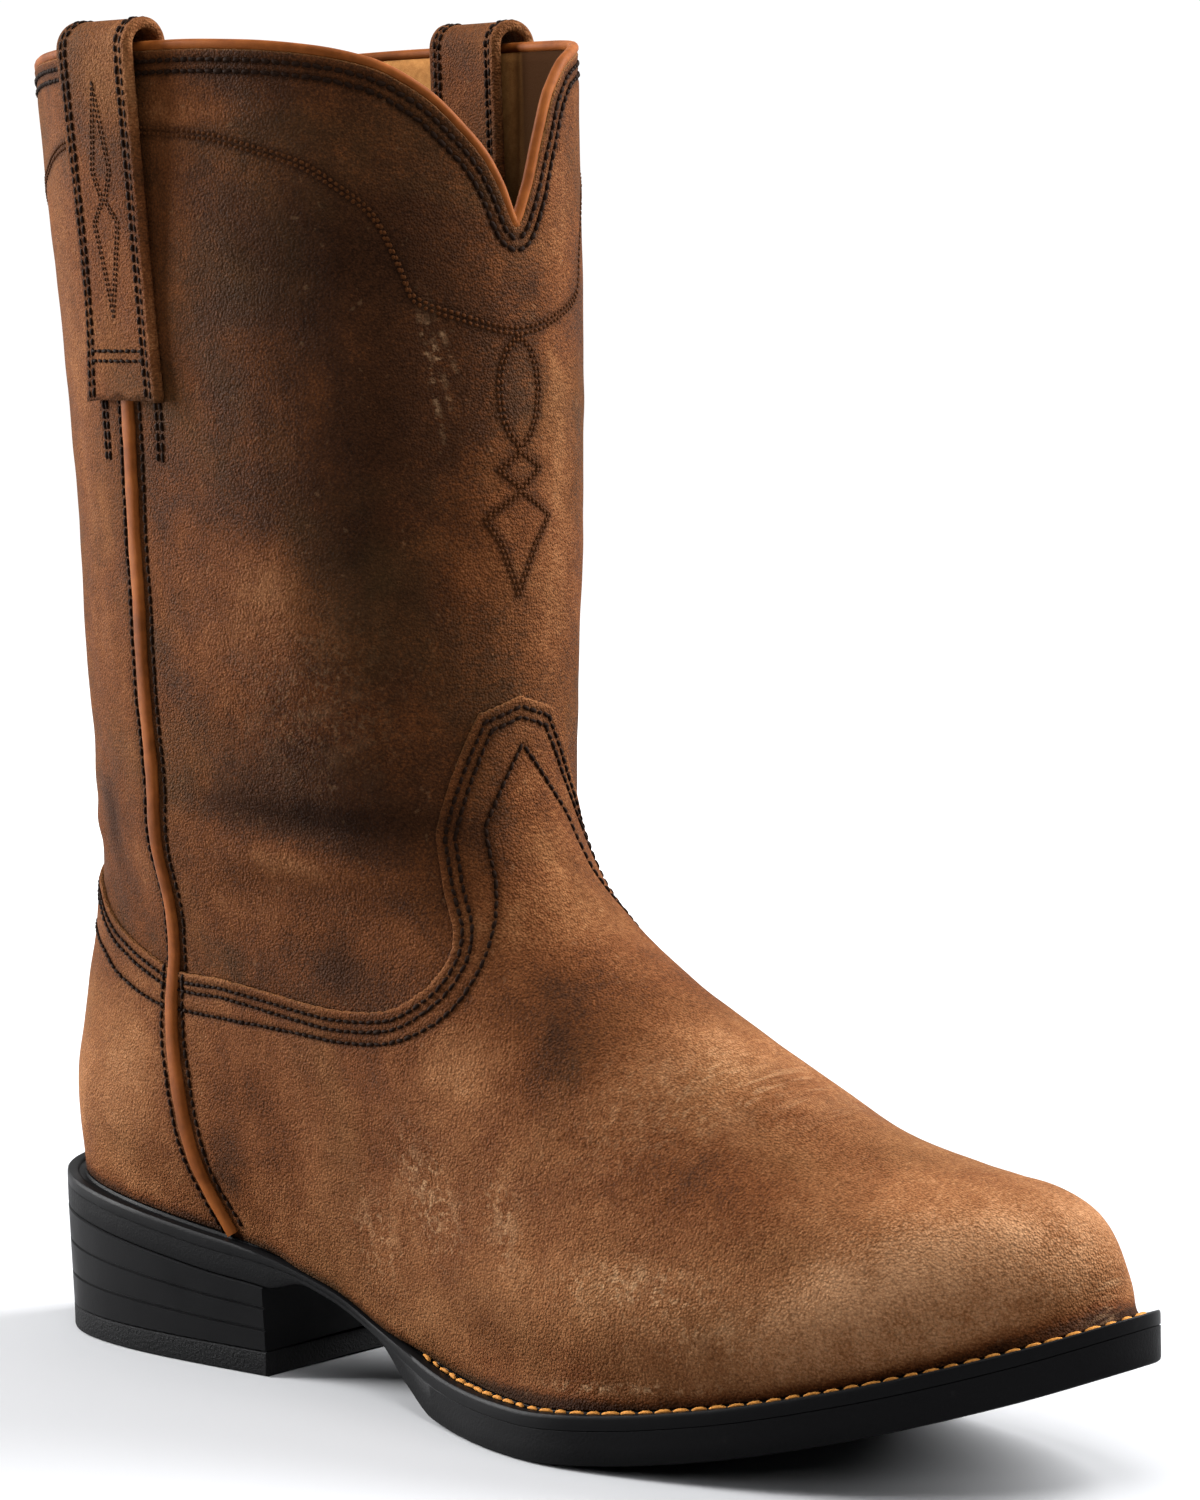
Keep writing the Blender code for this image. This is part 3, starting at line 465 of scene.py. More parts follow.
SCUFFS = rows_of(MARK,
    (0.242, 0.0672, 13, 8, 50, 0.9),
    (0.285, 0.0560, 12, 8, 60, 0.6),
    (0.205, 0.0660, 5, 9, -20, 0.8),
    (0.160, 0.0600, 18, 5, 0, 0.8),
    (0.130, 0.0520, 16, 7, 10, 0.5),
    (0.167, 0.0428, 20, 1.2, 0, 1.0),
    (0.060, 0.0480, 12, 4, 0, 0.4),
    (0.002, 0.0480, 6, 8, 0, 0.6),
    (0.020, 0.0900, 30, 12, 0, 0.45),
    (0.052, 0.2330, 10, 0.6, 76, 0.9),
    (0.056, 0.2290, 12, 0.5, 80, 0.8),
    (0.047, 0.2360, 8, 0.5, 70, 0.7),
    (0.139, 0.1600, 20, 18, 20, 0.2),
    (0.780, 0.0620, 18, 6, 0, 0.7),
    (0.880, 0.0500, 16, 4, 0, 0.6),
)


def smooth(value, low, high):
    t = np.clip((value - low) / (high - low), 0.0, 1.0)
    return t * t * (3.0 - 2.0 * t)


def monotone(places, values, at):
    """A smooth curve through the values that never overshoots them."""
    places = np.asarray(places, float)
    values = np.asarray(values, float)
    step = np.diff(places)
    rate = np.diff(values) / step
    same = rate[1:] * rate[:-1] > 0.0
    total = np.where(same, rate[1:] + rate[:-1], 1.0)
    slope = np.zeros_like(values)
    slope[1:-1] = np.where(same, 2.0 * rate[1:] * rate[:-1] / total, 0.0)
    at = np.clip(at, places[0], places[-1])
    i = np.clip(np.searchsorted(places, at, side="right") - 1, 0, len(places) - 2)
    t = (at - places[i]) / step[i]
    near = values[i] * (1 + 2 * t) * (1 - t) ** 2 + slope[i] * step[i] * t * (1 - t) ** 2
    far = values[i + 1] * t * t * (3 - 2 * t) + slope[i + 1] * step[i] * t * t * (t - 1)
    return near + far


def table_curve(table, at):
    return monotone([row[0] for row in table], [row[1] for row in table], at)


def straight_curve(table, at):
    return np.interp(at, [row[0] for row in table], [row[1] for row in table])


def sole_top(x):
    station = np.asarray(x, float) / SOLE_LENGTH
    heel = monotone([row.station for row in SOLE_HEIGHTS],
                    [row.heel_share for row in SOLE_HEIGHTS], station)
    toe = monotone([row.station for row in SOLE_HEIGHTS],
                   [row.toe_share for row in SOLE_HEIGHTS], station)
    return BALL_TOP + (HEEL_HEIGHT - BALL_TOP) * heel + TOE_SPRING * toe


def edge_size(x, name):
    """Outsole or welt thickness, or the welt's margin, at x."""
    return monotone([row.station for row in SOLE_THICKNESSES],
                    [getattr(row, name) for row in SOLE_THICKNESSES],
                    np.asarray(x, float) / SOLE_LENGTH)


def outsole_top(x):
    return sole_top(x) - edge_size(x, "welt")


def outsole_bottom(x):
    return np.maximum(outsole_top(x) - edge_size(x, "outsole"), 0.0)


def end_curve(station, back, front):
    power = back + (front - back) * smooth(station, BLEND_FROM, BLEND_TO)
    return np.sqrt(np.clip(1.0 - np.abs(2.0 * station - 1.0) ** power, 0.0, 1.0))


def stations(count):
    return (1.0 + np.cos(np.linspace(0.0, math.pi, count))) / 2.0


def unit(vectors):
    return vectors / np.maximum(np.linalg.norm(vectors, axis=-1, keepdims=True), 1e-12)


def inset(ring, distance):
    ahead = unit(np.roll(ring, -1, 0) - ring)
    behind = unit(ring - np.roll(ring, 1, 0))
    along = unit(ahead + behind)
    mitre = 1.0 / np.maximum((along * ahead).sum(1), 0.5)
    inward = np.stack([along[:, 1], -along[:, 0]], 1)
    return ring + inward * (distance * mitre)[:, None]


def run_length(points):
    """How far along the path each of its points lies."""
    return np.r_[0.0, np.cumsum(np.linalg.norm(np.diff(points, axis=0), axis=1))]


def along_run(at, run, values):
    """Values read at lengths along a path."""
    return np.stack([np.interp(at, run, column) for column in values.T], 1)


def resample(points, count):
    run = run_length(points)
    return along_run(np.linspace(0.0, run[-1], count), run, points)


def join_sides(outer, inner, columns):
    count = columns // 2 + 1
    return np.vstack([resample(outer, count), resample(inner, count)[-2:0:-1]])


def sole_sides():
    station = stations(SIDE_SAMPLES)
    places = [row.station for row in SOLE_PLAN]
    bow = end_curve(station, HEEL_ROUND, TOE_ROUND)
    outer = monotone(places, [row.width * row.outer for row in SOLE_PLAN], station) * bow
    inner = monotone(places, [row.width * row.inner for row in SOLE_PLAN], station) * bow
    middle = TOE_SWING * station ** 3
    x = SOLE_LENGTH * station
    return np.stack([x, middle - outer], 1), np.stack([x, middle + inner], 1)


def inset_sides(distance):
    """The sole's sides moved inward by a length, or by a function of x."""
    outer, inner = sole_sides()
    ring = np.vstack([outer, inner[-2:0:-1]])
    ring = inset(ring, distance(ring[:, 0]) if callable(distance) else distance)
    return ring[:SIDE_SAMPLES], np.vstack([ring[:1], ring[:SIDE_SAMPLES - 2:-1]])


def sole_ring(distance=0.0, columns=SOLE_COLUMNS):
    outer, inner = inset_sides(distance)
    return join_sides(outer, inner, columns)


def on_face(ring, height):
    return np.column_stack([ring, height(ring[:, 0])])


def feather_level():
    sides = inset_sides(lambda x: edge_size(x, "margin"))
    outer, inner = [on_face(side, lambda x: sole_top(x) + CLEARANCE) for side in sides]
    return join_sides(outer, inner, FINE_COLUMNS)


def side_rings(x, z, middle, outer, inner):
    near = np.stack([x, middle - outer, z], 1)
    far = np.stack([x, middle + inner, z], 1)
    return join_sides(near, far, FINE_COLUMNS)


def foot_level(row):
    station = stations(SIDE_SAMPLES)
    back = row.back * SOLE_LENGTH
    front = row.front * SOLE_LENGTH
    x = back + (front - back) * station
    seat = sole_top(back)
    tip = sole_top(front)
    low = seat + row.back_up * (BOOT_HEIGHT - seat)
    high = tip + row.front_up * (BOOT_HEIGHT - tip)
    dip = sole_top(x) - (seat + (tip - seat) * station)
    z = low + (high - low) * station + row.follow * dip
    bow = end_curve(station, row.back_round, row.front_round) * BALL_WIDTH
    outer = (row.heel, row.heel, row.waist_out, row.ball_out, row.ball_out)
    inner = (row.heel, row.heel, row.waist_in, row.ball_in, row.ball_in)
    middle = TOE_SWING * row.follow * station ** 3
    return side_rings(x, z, middle, monotone(HALF_STATIONS, outer, station) * bow,
                      monotone(HALF_STATIONS, inner, station) * bow)


def shaft_level(row):
    station = stations(SIDE_SAMPLES)
    back = SHAFT_AXIS - row.back * SHAFT_LENGTH
    front = SHAFT_AXIS + row.front * SHAFT_LENGTH
    x = back + (front - back) * station
    z = BOOT_HEIGHT * (row.back_up + (row.front_up - row.back_up) * station)
    shares = (row.heel, row.heel, row.middle, row.shin, row.shin)
    half = monotone(HALF_STATIONS, shares, station)
    half = half * end_curve(station, row.round, row.round) * SHAFT_WIDTH
    return side_rings(x, z, np.zeros(SIDE_SAMPLES), half, half)


def turned(ring, share):
    angle = SHAFT_TURN * share
    middle = (ring[:, :2].max(0) + ring[:, :2].min(0)) / 2.0
    turn = np.array([[math.cos(angle), math.sin(angle)], [-math.sin(angle), math.cos(angle)]])
    return np.column_stack([(ring[:, :2] - middle) @ turn + middle, ring[:, 2]])


class Last:
    """The upper's outer face: a cubic spline through the sections."""

    def __init__(self):
        rings = [feather_level()]
        rings += [turned(foot_level(row), row.turn) for row in FOOT_LEVELS]
        rings += [turned(shaft_level(row), row.turn) for row in SHAFT_LEVELS]
        self.rings = np.array(rings)
        self.knots = (self.rings[:, 0, 2] + self.rings[:, FINE_COLUMNS // 2, 2]) / 2.0
        step = np.diff(self.knots)[:, None, None]
        rate = np.diff(self.rings, axis=0) / step
        count = len(self.knots)
        system = np.eye(count)
        right = np.zeros_like(self.rings)
        for i in range(1, count - 1):
            system[i, i - 1] = step[i - 1, 0, 0]
            system[i, i] = 2.0 * (step[i - 1, 0, 0] + step[i, 0, 0])
            system[i, i + 1] = step[i, 0, 0]
            right[i] = 6.0 * (rate[i] - rate[i - 1])
        self.bend = np.linalg.solve(system, right.reshape(count, -1)).reshape(self.rings.shape)

    def level(self, share):
        return self.knots[0] + share * (self.knots[-1] - self.knots[0])

    def share(self, height):
        return (height - self.knots[0]) / (self.knots[-1] - self.knots[0])

    def column(self, index, height):
        i = np.clip(np.searchsorted(self.knots, height, side="right") - 1, 0, len(self.knots) - 2)
        step = self.knots[i + 1] - self.knots[i]
        low = ((self.knots[i + 1] - height) / step)[..., None]
        high = 1.0 - low
        bend = (low ** 3 - low) * self.bend[i, index] + (high ** 3 - high) * self.bend[i + 1, index]
        line = low * self.rings[i, index] + high * self.rings[i + 1, index]
        return line + bend * (step * step / 6.0)[..., None]

    def face(self, around, height):
        around, height = np.broadcast_arrays(around, height)
        place = np.mod(around, 1.0) * FINE_COLUMNS
        index = np.floor(place).astype(int)
        share = (place - index)[..., None]
        near = self.column(index % FINE_COLUMNS, height)
        far = self.column((index + 1) % FINE_COLUMNS, height)
        return near * (1.0 - share) + far * share

    def slopes(self, around, height):
        """How the face runs with around and with height."""
        step = 1.0 / FINE_COLUMNS
        across = (self.face(around + step, height) - self.face(around - step, height)) / (2 * step)
        low = np.maximum(height - SLOPE_STEP, self.knots[0])
        up = self.face(around, low + 2.0 * SLOPE_STEP) - self.face(around, low)
        return across, up / (2.0 * SLOPE_STEP)

    def outward(self, around, height):
        across, up = self.slopes(around, height)
        return unit(np.cross(up, across))

    def at(self, around, height, depth):
        depth = np.asarray(depth)[..., None]
        return self.face(around, height) - self.outward(around, height) * depth


LAST = Last()
SIDES = (1, -1)              # outer side first
SIDE_NAMES = {1: "_lateral", -1: "_medial"}


def folded(around):
    around = np.mod(around, 1.0)
    return np.minimum(around, 1.0 - around)


def edge_height(around):
    """Height of the upper edge of vamp and counter, with the tongue's corners."""
    away = folded(around)
    return np.where(away < VAMP_LINE[0].around, straight_curve(TONGUE_LINE, away),
                    table_curve(VAMP_LINE, away))


def dip_share(away, side):
    return monotone([row.away for row in DIP], [getattr(row, side) for row in DIP], away)


def collar_height(around):
    away = folded(around)
    is_outer = np.mod(around, 1.0) < 0.5
    front = FRONT_DIP * np.where(is_outer, dip_share(away, "outer"), dip_share(away, "inner"))
    back = BACK_DIP * dip_share(0.5 - away, "outer")
    return BOOT_HEIGHT - front - back


def shaft_depth(around, height):
    edge = edge_height(around)
    return OVERLAY * (1.0 - smooth(height, edge, edge + OVERLAY_FADE))


def leather_depth(around, height):
    """How far the outer leather lies under the last's face."""
    return np.where(height > edge_height(around), shaft_depth(around, height), 0.0)


def inner_row_height(around):
    """Height of the third stitch row, with its pointed top."""
    away = folded(around)
    return np.where(away < INNER_ROW[1].around, straight_curve(INNER_ROW, away),
                    table_curve(INNER_ROW[1:], away))


def columns_around(count):
    even = np.arange(count) / count
    return even - CROWDING * np.sin(4.0 * math.pi * even) / (4.0 * math.pi)


def seam_around(height, side):
    place = table_curve(SIDE_SEAM, LAST.share(height))
    return place if side > 0 else 1.0 - (place - INNER_SEAM_SHIFT)


# Lines of stitches, as dense runs of (around, height)

def offset_line(around, height, distance):
    """The line moved sideways over the leather, without loops at its corners."""
    place = LAST.face(around, height)
    across, up = LAST.slopes(around, height)
    along = unit(np.gradient(place, axis=0))
    side = unit(np.cross(LAST.outward(around, height), along)) * distance
    aa = (across * across).sum(1)
    au = (across * up).sum(1)
    uu = (up * up).sum(1)
    sa = (side * across).sum(1)
    su = (side * up).sum(1)
    scale = aa * uu - au * au
    moved_around = around + (sa * uu - su * au) / scale
    moved_height = height + (su * aa - sa * au) / scale
    moved = LAST.face(moved_around, moved_height)
    clear = distances(moved, place) > abs(distance) * 0.93
    return moved_around[clear], moved_height[clear]


def distances(points, path):
    """Distance of each point to the nearest point of a dense path."""
    tree = KDTree(len(path))
    for i, place in enumerate(path):
        tree.insert(place, i)
    tree.balance()
    return np.array([tree.find(point)[2] for point in points])


def spaced(around, height, gap):
    """Middles of stitches along a line, an even gap apart."""
    run = run_length(LAST.face(around, height))
    at = np.arange(gap / 2.0, run[-1], gap)
    return np.interp(at, run, around), np.interp(at, run, height)


RING = np.linspace(0.0, 1.0, 3001)


def ring_line(height_of):
    return RING, height_of(RING)


def half_width(shape, height):
    """Half the width of a motif at a height; its rows run downward."""
    return np.interp(height, [row.height for row in shape][::-1], [row.out for row in shape][::-1])


def medal_line(shape, side, out):
    """A line of the medallion on one side, moved out by a distance."""
    height = np.linspace(shape[0].height, shape[-1].height, 200)
    return side * (half_width(shape, height) + out) / SHAFT_GIRTH, height


def strap_tail(side, across):
    height = np.linspace(TAIL_FROM, TAIL_TO, 60)
    return seam_around(height, side) + across / SHAFT_GIRTH, height


def heavy_lines():
    """Rows along the vamp's edge, the side seams and the straps' tails."""
    lines = [offset_line(*ring_line(edge_height), below) for below in EDGE_OFFSETS]
    lines.append(ring_line(inner_row_height))
    height = np.linspace(LAST.level(0.004), LAST.level(0.985), 1500)
    for side in SIDES:
        seam = seam_around(height, side)
        lines += [offset_line(seam, height, reach) for reach in SEAM_OFFSETS]
        lines += [strap_tail(side, across) for across in TAIL_OFFSETS]
    return lines


def fine_lines():
    """The yoke's double row, and the medallion."""
    lines = [(RING, table_curve(YOKE_ROW, folded(RING)) + shift) for shift in YOKE_OFFSETS]
    for side in SIDES:
        for shape in (OVAL, DIAMOND, LANCE):
            lines += [medal_line(shape, side, out) for out in MEDAL_OFFSETS]
    return lines


def dense_points(lines):
    return np.vstack([LAST.face(*spaced(a, h, 0.0005)) for a, h in lines])


def seam_points():
    height = np.linspace(LAST.level(0.0), LAST.level(1.0), 700)
    return np.vstack([LAST.face(seam_around(height, side), height) for side in SIDES])


HEAVY = heavy_lines()
COLLAR = [offset_line(*ring_line(collar_height), below) for below in COLLAR_OFFSETS]
FINE = fine_lines()
SEAM_POINTS = seam_points()

# Each kind of row presses a trough into the leather and darkens it with painted
# shade. Troughs and widths are in millimetres.
PRESSED = rows_of(
    "points trough trough_width shade shade_width",
    (dense_points(HEAVY), 0.30, 0.9, 0.50, 1.0),
    (dense_points(COLLAR), 0.42, 0.8, 0.75, 1.0),
    (dense_points(FINE), 0.10, 0.8, 0.62, 1.0),
)


def mark_field(points, marks):
    """The sum of soft oval marks, each laid on the last where its row says."""
    total = np.zeros(len(points))
    for mark in marks:
        here = np.array([mark.around]), np.array([mark.height])
        centre = LAST.face(*here)[0]
        out = LAST.outward(*here)[0]
        across, up = [v[0] for v in LAST.slopes(*here)]
        level = unit(across - out * (across @ out))
        turn = math.radians(mark.slant)
        rise = np.cross(level, out)
        rise = rise * np.sign(rise[2] + 1e-9)
        along = level * math.cos(turn) + rise * math.sin(turn)
        cross = rise * math.cos(turn) - level * math.sin(turn)
        away = (points - centre) / MM
        far = (away @ along / mark.wide) ** 2 + (away @ cross / mark.high) ** 2
        far = far + np.where(np.abs(away @ out) > 30.0, 9.0, 0.0)
        total += mark.amount * np.exp(-far)
    return total


def drift(points, size, seed):
    """A smooth uneven field of about -1 to 1 with features of a given size."""
    count = 28
    rng = np.random.default_rng(seed)
    waves = rng.normal(size=(count, 3))
    waves = unit(waves) * (2.0 * math.pi / size) * rng.uniform(0.6, 1.3, (count, 1))
    phase = rng.uniform(0.0, 2.0 * math.pi, count)
    return np.sin(points @ waves.T + phase).sum(1) / math.sqrt(count / 2.0) / 1.6


def bell(away, width):
    return np.exp(-(away / width) ** 2)


def leather_fields(points):
    """Relief in metres, and the paint with its painted shade and light, of points on the last's
    outer face.
    """
    seam = distances(points, SEAM_POINTS) / MM
    relief = mark_field(points, FOLDS)
    relief += 0.16 * drift(points, 0.030, 3) + 0.08 * drift(points, 0.012, 4)
    relief += 0.30 * smooth(-seam, -2.6, -1.4) - 0.25 * bell(seam - 1.5, 0.5)
    # Painted shade in the dip beside the side seams, and below in each stitch row's trough
    dark_and_shade = 0.45 * bell(seam - 1.7, 0.7)
    for row in PRESSED:
        away = distances(points, row.points) / MM
        relief -= row.trough * bell(away, row.trough_width)
        dark_and_shade += row.shade * bell(away, row.shade_width)
    # Tone, with painted shade and light on the folds and along the upper's foot
    tone = mark_field(points, TONES_AND_SHADING)
    return relief * MM, np.clip(dark_and_shade, 0.0, 1.0), tone, mark_field(points, SCUFFS)


def leather_point(around, height):
    """Points on the finished leather with their outward directions."""
    base = LAST.face(around, height)
    out = LAST.outward(around, height)
    relief = leather_fields(base)[0]
    depth = leather_depth(around, height)
    return base + out * (relief - depth)[:, None], out


# Meshes

def grid_faces(rows, columns, closed=True, flip=False):
    i = np.arange(rows - 1)[:, None] * columns
    j = np.arange(columns if closed else columns - 1)[None, :]
    k = (j + 1) % columns
    corners = [i + j, i + columns + j, i + columns + k, i + k]
    if flip:
        corners = corners[::-1]
    return np.stack(corners, -1).reshape(-1, 4)


def add_mesh(name, points, faces, look, node, fields=None, sharp=None):
    mesh = bpy.data.meshes.new(name)
    mesh.from_pydata((np.asarray(points) + SHIFT).tolist(), [], [list(map(int, f)) for f in faces])
    mesh.materials.append(look)
    mesh.shade_smooth()
    if sharp:
        mesh.set_sharp_from_angle(angle=math.radians(sharp))
    for key, values in (fields or {}).items():
        layer = mesh.attributes.new(key, "FLOAT", "POINT")
        layer.data.foreach_set("value", np.asarray(values, np.float32))
    made = bpy.data.objects.new(name, mesh)
    bpy.context.scene.collection.objects.link(made)
    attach(made, "root")
    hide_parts(*([node] if isinstance(node, str) else node))
    return made


def add_ring_cord(name, path, out, radius, look, node):
    """A round cord along a closed path, mitred at its corners."""
    ahead = unit(np.roll(path, -1, 0) - path)
    behind = unit(path - np.roll(path, 1, 0))
    along = unit(ahead + behind)
    mitre = 1.0 / np.clip((along * ahead).sum(1), 0.55, 1.0)
    first = unit(np.cross(along, out))
    second = np.cross(first, along)
    angles = np.linspace(0.0, 2.0 * math.pi, CORD_SIDES, endpoint=False)
    rings = (path[:, None] + radius * (first[:, None] * np.cos(angles)[None, :, None]
             * mitre[:, None, None] + second[:, None] * np.sin(angles)[None, :, None]))
    last = (len(path) - 1) * CORD_SIDES
    j = np.arange(CORD_SIDES)
    k = (j + 1) % CORD_SIDES
    faces = np.vstack([grid_faces(len(path), CORD_SIDES),
                       np.stack([last + j, j, k, last + k], -1)])
    add_mesh(name, rings.reshape(-1, 3), faces, look, node)


BEAD_SIDES = 6
BEAD_PROFILE = rows_of(
    "along size",
    (-0.5, 0.35),
    (-0.42, 0.78),
    (-0.2, 1.0),
    (0.2, 1.0),
    (0.42, 0.78),
    (0.5, 0.35),
)


def bead_shape():
    """Corners and faces of one stitch of length and half width 1."""
    corners = []
    for row in BEAD_PROFILE:
        for angle in np.arange(BEAD_SIDES) * 2.0 * math.pi / BEAD_SIDES:
            corners.append((row.along, row.size * math.cos(angle), row.size * math.sin(angle)))
    faces = grid_faces(len(BEAD_PROFILE), BEAD_SIDES).tolist()
    faces.append(list(range(BEAD_SIDES)))
    faces.append(list(range(len(corners) - 1, len(corners) - 1 - BEAD_SIDES, -1)))
    return np.array(corners), faces


BEAD, BEAD_FACES = bead_shape()


def add_beads(name, centres, along, out, stitch, look, node):
    """Stitches as small rounded beads, all in one mesh."""
    side = unit(np.cross(along, out))
    out = np.cross(side, along)
    rng = np.random.default_rng(7)
    wobble = 1.0 + 0.10 * rng.normal(size=(len(centres), 3))
    slant = 0.10 * rng.normal(size=(len(centres), 1))
    along = unit(along + side * slant)
    points = (centres[:, None]
              + along[:, None] * (BEAD[None, :, :1] * stitch.length * wobble[:, None, :1])
              + side[:, None] * (BEAD[None, :, 1:2] * stitch.width / 2.0 * wobble[:, None, 1:2])
              + out[:, None] * (BEAD[None, :, 2:] * stitch.high * wobble[:, None, 2:]))
    arch = (0.25 - BEAD[:, 0] ** 2) * stitch.high * 2.4
    points = points + out[:, None] * arch[None, :, None]
    faces = []
    for i in range(len(centres)):
        faces += [[v + i * len(BEAD) for v in face] for face in BEAD_FACES]
    return add_mesh(name, points.reshape(-1, 3), faces, look, node)


def stitch_lines(name, lines, stitch, look):
    """Stitches along lines on the upper."""
    centres = []
    along = []
    outs = []
    for around, height in lines:
        a, h = spaced(around, height, stitch.gap)
        if len(a) < 3:
            continue
        place, out = leather_point(a, h)
        step = np.gradient(place, axis=0)
        good = np.linalg.norm(step, axis=1) < stitch.gap * 1.6
        centres.append((place + out * stitch.seat)[good])
        along.append(unit(step)[good])
        outs.append(out[good])
    add_beads(name, np.vstack(centres), np.vstack(along), np.vstack(outs), stitch, look,
              "upper")


# Materials

class Look:
    """A material whose nodes are written from top to bottom."""

    def __init__(self, name, roughness, specular=0.4):
        self.material = bpy.data.materials.new(name)
        self.material.use_nodes = True
        self.tree = self.material.node_tree
        self.shader = self.tree.nodes["Principled BSDF"]
        self.shader.inputs["Roughness"].default_value = roughness
        self.shader.inputs["Specular IOR Level"].default_value = specular
        self.place = self.node("ShaderNodeTexCoord").outputs["Object"]

    def node(self, kind, settings=None, **inputs):
        made = self.tree.nodes.new(kind)
        for key, value in (settings or {}).items():
            setattr(made, key, value)
        for key, value in inputs.items():
            self.feed(made.inputs[key.replace("_", " ")], value)
        return made

    def feed(self, socket, value):
        if isinstance(value, bpy.types.NodeSocket):
            self.tree.links.new(value, socket)
        else:
            socket.default_value = value

    def noise(self, scale, detail=3.0, rough=0.5, stretch=None, distortion=0.0):
        place = self.place
        if stretch:
            place = self.node("ShaderNodeMapping", Vector=place, Rotation=stretch[0],
                              Scale=stretch[1]).outputs[0]
        return self.node("ShaderNodeTexNoise", Vector=place, Scale=scale, Detail=detail,
                         Roughness=rough, Distortion=distortion).outputs["Fac"]

    def cells(self, scale, smoothness=0.6):
        made = self.node("ShaderNodeTexVoronoi", {"feature": "SMOOTH_F1"}, Vector=self.place,
                         Scale=scale, Smoothness=smoothness)
        return made.outputs["Distance"]

    def attribute(self, name):
        return self.node("ShaderNodeAttribute", {"attribute_name": name}).outputs["Fac"]

    def math(self, operation, first, second, clamp=False):
        made = self.node("ShaderNodeMath", {"operation": operation, "use_clamp": clamp})
        self.feed(made.inputs[0], first)
        self.feed(made.inputs[1], second)
        return made.outputs[0]

    def scaled(self, value, low, high, to_low=0.0, to_high=1.0):
        return self.node("ShaderNodeMapRange", Value=value, From_Min=low, From_Max=high,
                         To_Min=to_low, To_Max=to_high).outputs[0]

    def ramp(self, value, stops):
        made = self.node("ShaderNodeValToRGB", Fac=value)
        band = made.color_ramp
        while len(band.elements) < len(stops):
            band.elements.new(0.5)
        for element, (place, colour) in zip(band.elements, stops):
            element.position = place
            element.color = (*colour, 1.0)
        return made.outputs["Color"]

    def mix(self, share, first, second, blend="MIX"):
        made = self.node("ShaderNodeMix", {"data_type": "RGBA", "blend_type": blend})
        self.feed(made.inputs[0], share)
        for socket, value in ((made.inputs[6], first), (made.inputs[7], second)):
            self.feed(socket, value if isinstance(value, bpy.types.NodeSocket) else (*value, 1.0))
        return made.outputs[2]

    def bump(self, height, strength, distance, under=None):
        made = self.node("ShaderNodeBump", Height=height, Strength=strength, Distance=distance)
        if under is not None:
            self.feed(made.inputs["Normal"], under)
        return made.outputs["Normal"]

    def finish(self, colour, normal=None, roughness=None):
        self.feed(self.shader.inputs["Base Color"],
                  colour if isinstance(colour, bpy.types.NodeSocket) else (*colour, 1.0))
        if normal is not None:
            self.feed(self.shader.inputs["Normal"], normal)
        if roughness is not None:
            self.feed(self.shader.inputs["Roughness"], roughness)
        return self.material


def waxed_leather(name, lift, grain):
    """Oiled brown leather that shows paler where worn; its lighter bends and darker hollows are
    painted light and shade.
    """
    look = Look(name, 0.70, 0.015)
    broad = look.noise(14.0, 3.0, 0.55)
    patch = look.noise(48.0, 4.0, 0.60, distortion=0.8)
    small = look.noise(170.0, 3.0, 0.60)
    fibre = look.noise(1700.0, 3.0, 0.7, ((0.5, 0.3, 0.9), (1.0, 0.26, 1.0)))
    value = look.math("ADD", look.attribute("tone"), lift)
    for part, amount in ((broad, 0.34), (patch, 0.32), (small, 0.18), (fibre, 0.55)):
        step = look.math("MULTIPLY_ADD", part, amount)
        look.feed(step.node.inputs[2], value)
        value = step
    colour = look.ramp(value, (
        (0.20, (0.0110, 0.0042, 0.0018)),
        (0.38, (0.0300, 0.0112, 0.0044)),
        (0.54, (0.0760, 0.0245, 0.0074)),
        (0.72, (0.1450, 0.0600, 0.0230)),
        (0.95, (0.2900, 0.1520, 0.0760)),
    ))
    olive = look.scaled(look.noise(24.0, 3.0, 0.55, distortion=0.4), 0.48, 0.68, 0.0, 0.34)
    colour = look.mix(olive, colour, look.mix(0.50, colour, (0.060, 0.038, 0.014)))
    streak = look.noise(620.0, 3.0, 0.6, ((0.7, 0.5, 0.6), (1.0, 0.06, 1.0)))
    blur = look.noise(200.0, 3.0, 0.6, ((0.9, 0.2, 1.1), (1.0, 0.16, 1.0)))
    worn = look.math("MAXIMUM", look.scaled(streak, 0.54, 0.62), look.scaled(blur, 0.50, 0.78))
    worn = look.math("MULTIPLY", look.attribute("scuff"), worn, True)
    fleck = look.scaled(look.noise(420.0, 2.0, 0.5), 0.68, 0.75, 0.0, 0.10)
    worn = look.math("ADD", look.math("MULTIPLY", worn, 0.70), fleck, True)
    colour = look.mix(worn, colour, (0.290, 0.170, 0.088))
    colour = look.mix(look.attribute("raw"), colour, (0.260, 0.125, 0.048))
    pebble = look.cells(1800.0, 0.25)
    # Painted shade in the hollows between the grain's pebbles
    grain_hollow_shade = look.scaled(pebble, 0.44, 0.85, 0.0, 0.34)
    colour = look.mix(grain_hollow_shade, colour, (0.010, 0.004, 0.0015))
    # Painted shade from the darkening attribute: stitch troughs and the dips beside the side seams
    colour = look.mix(look.attribute("dark_and_shade"), colour, (0.007, 0.003, 0.0015))
    fine = look.noise(2300.0, 3.0, 0.65)
    hump = look.math("SUBTRACT", look.math("MULTIPLY", fine, 0.45), pebble)
    soft = look.bump(look.noise(260.0, 4.0, 0.65), 0.50, 0.0006)
    normal = look.bump(hump, grain, 0.00034, soft)
    roughness = look.scaled(patch, 0.3, 0.7, 0.58, 0.74)
    return look.finish(colour, normal, roughness)


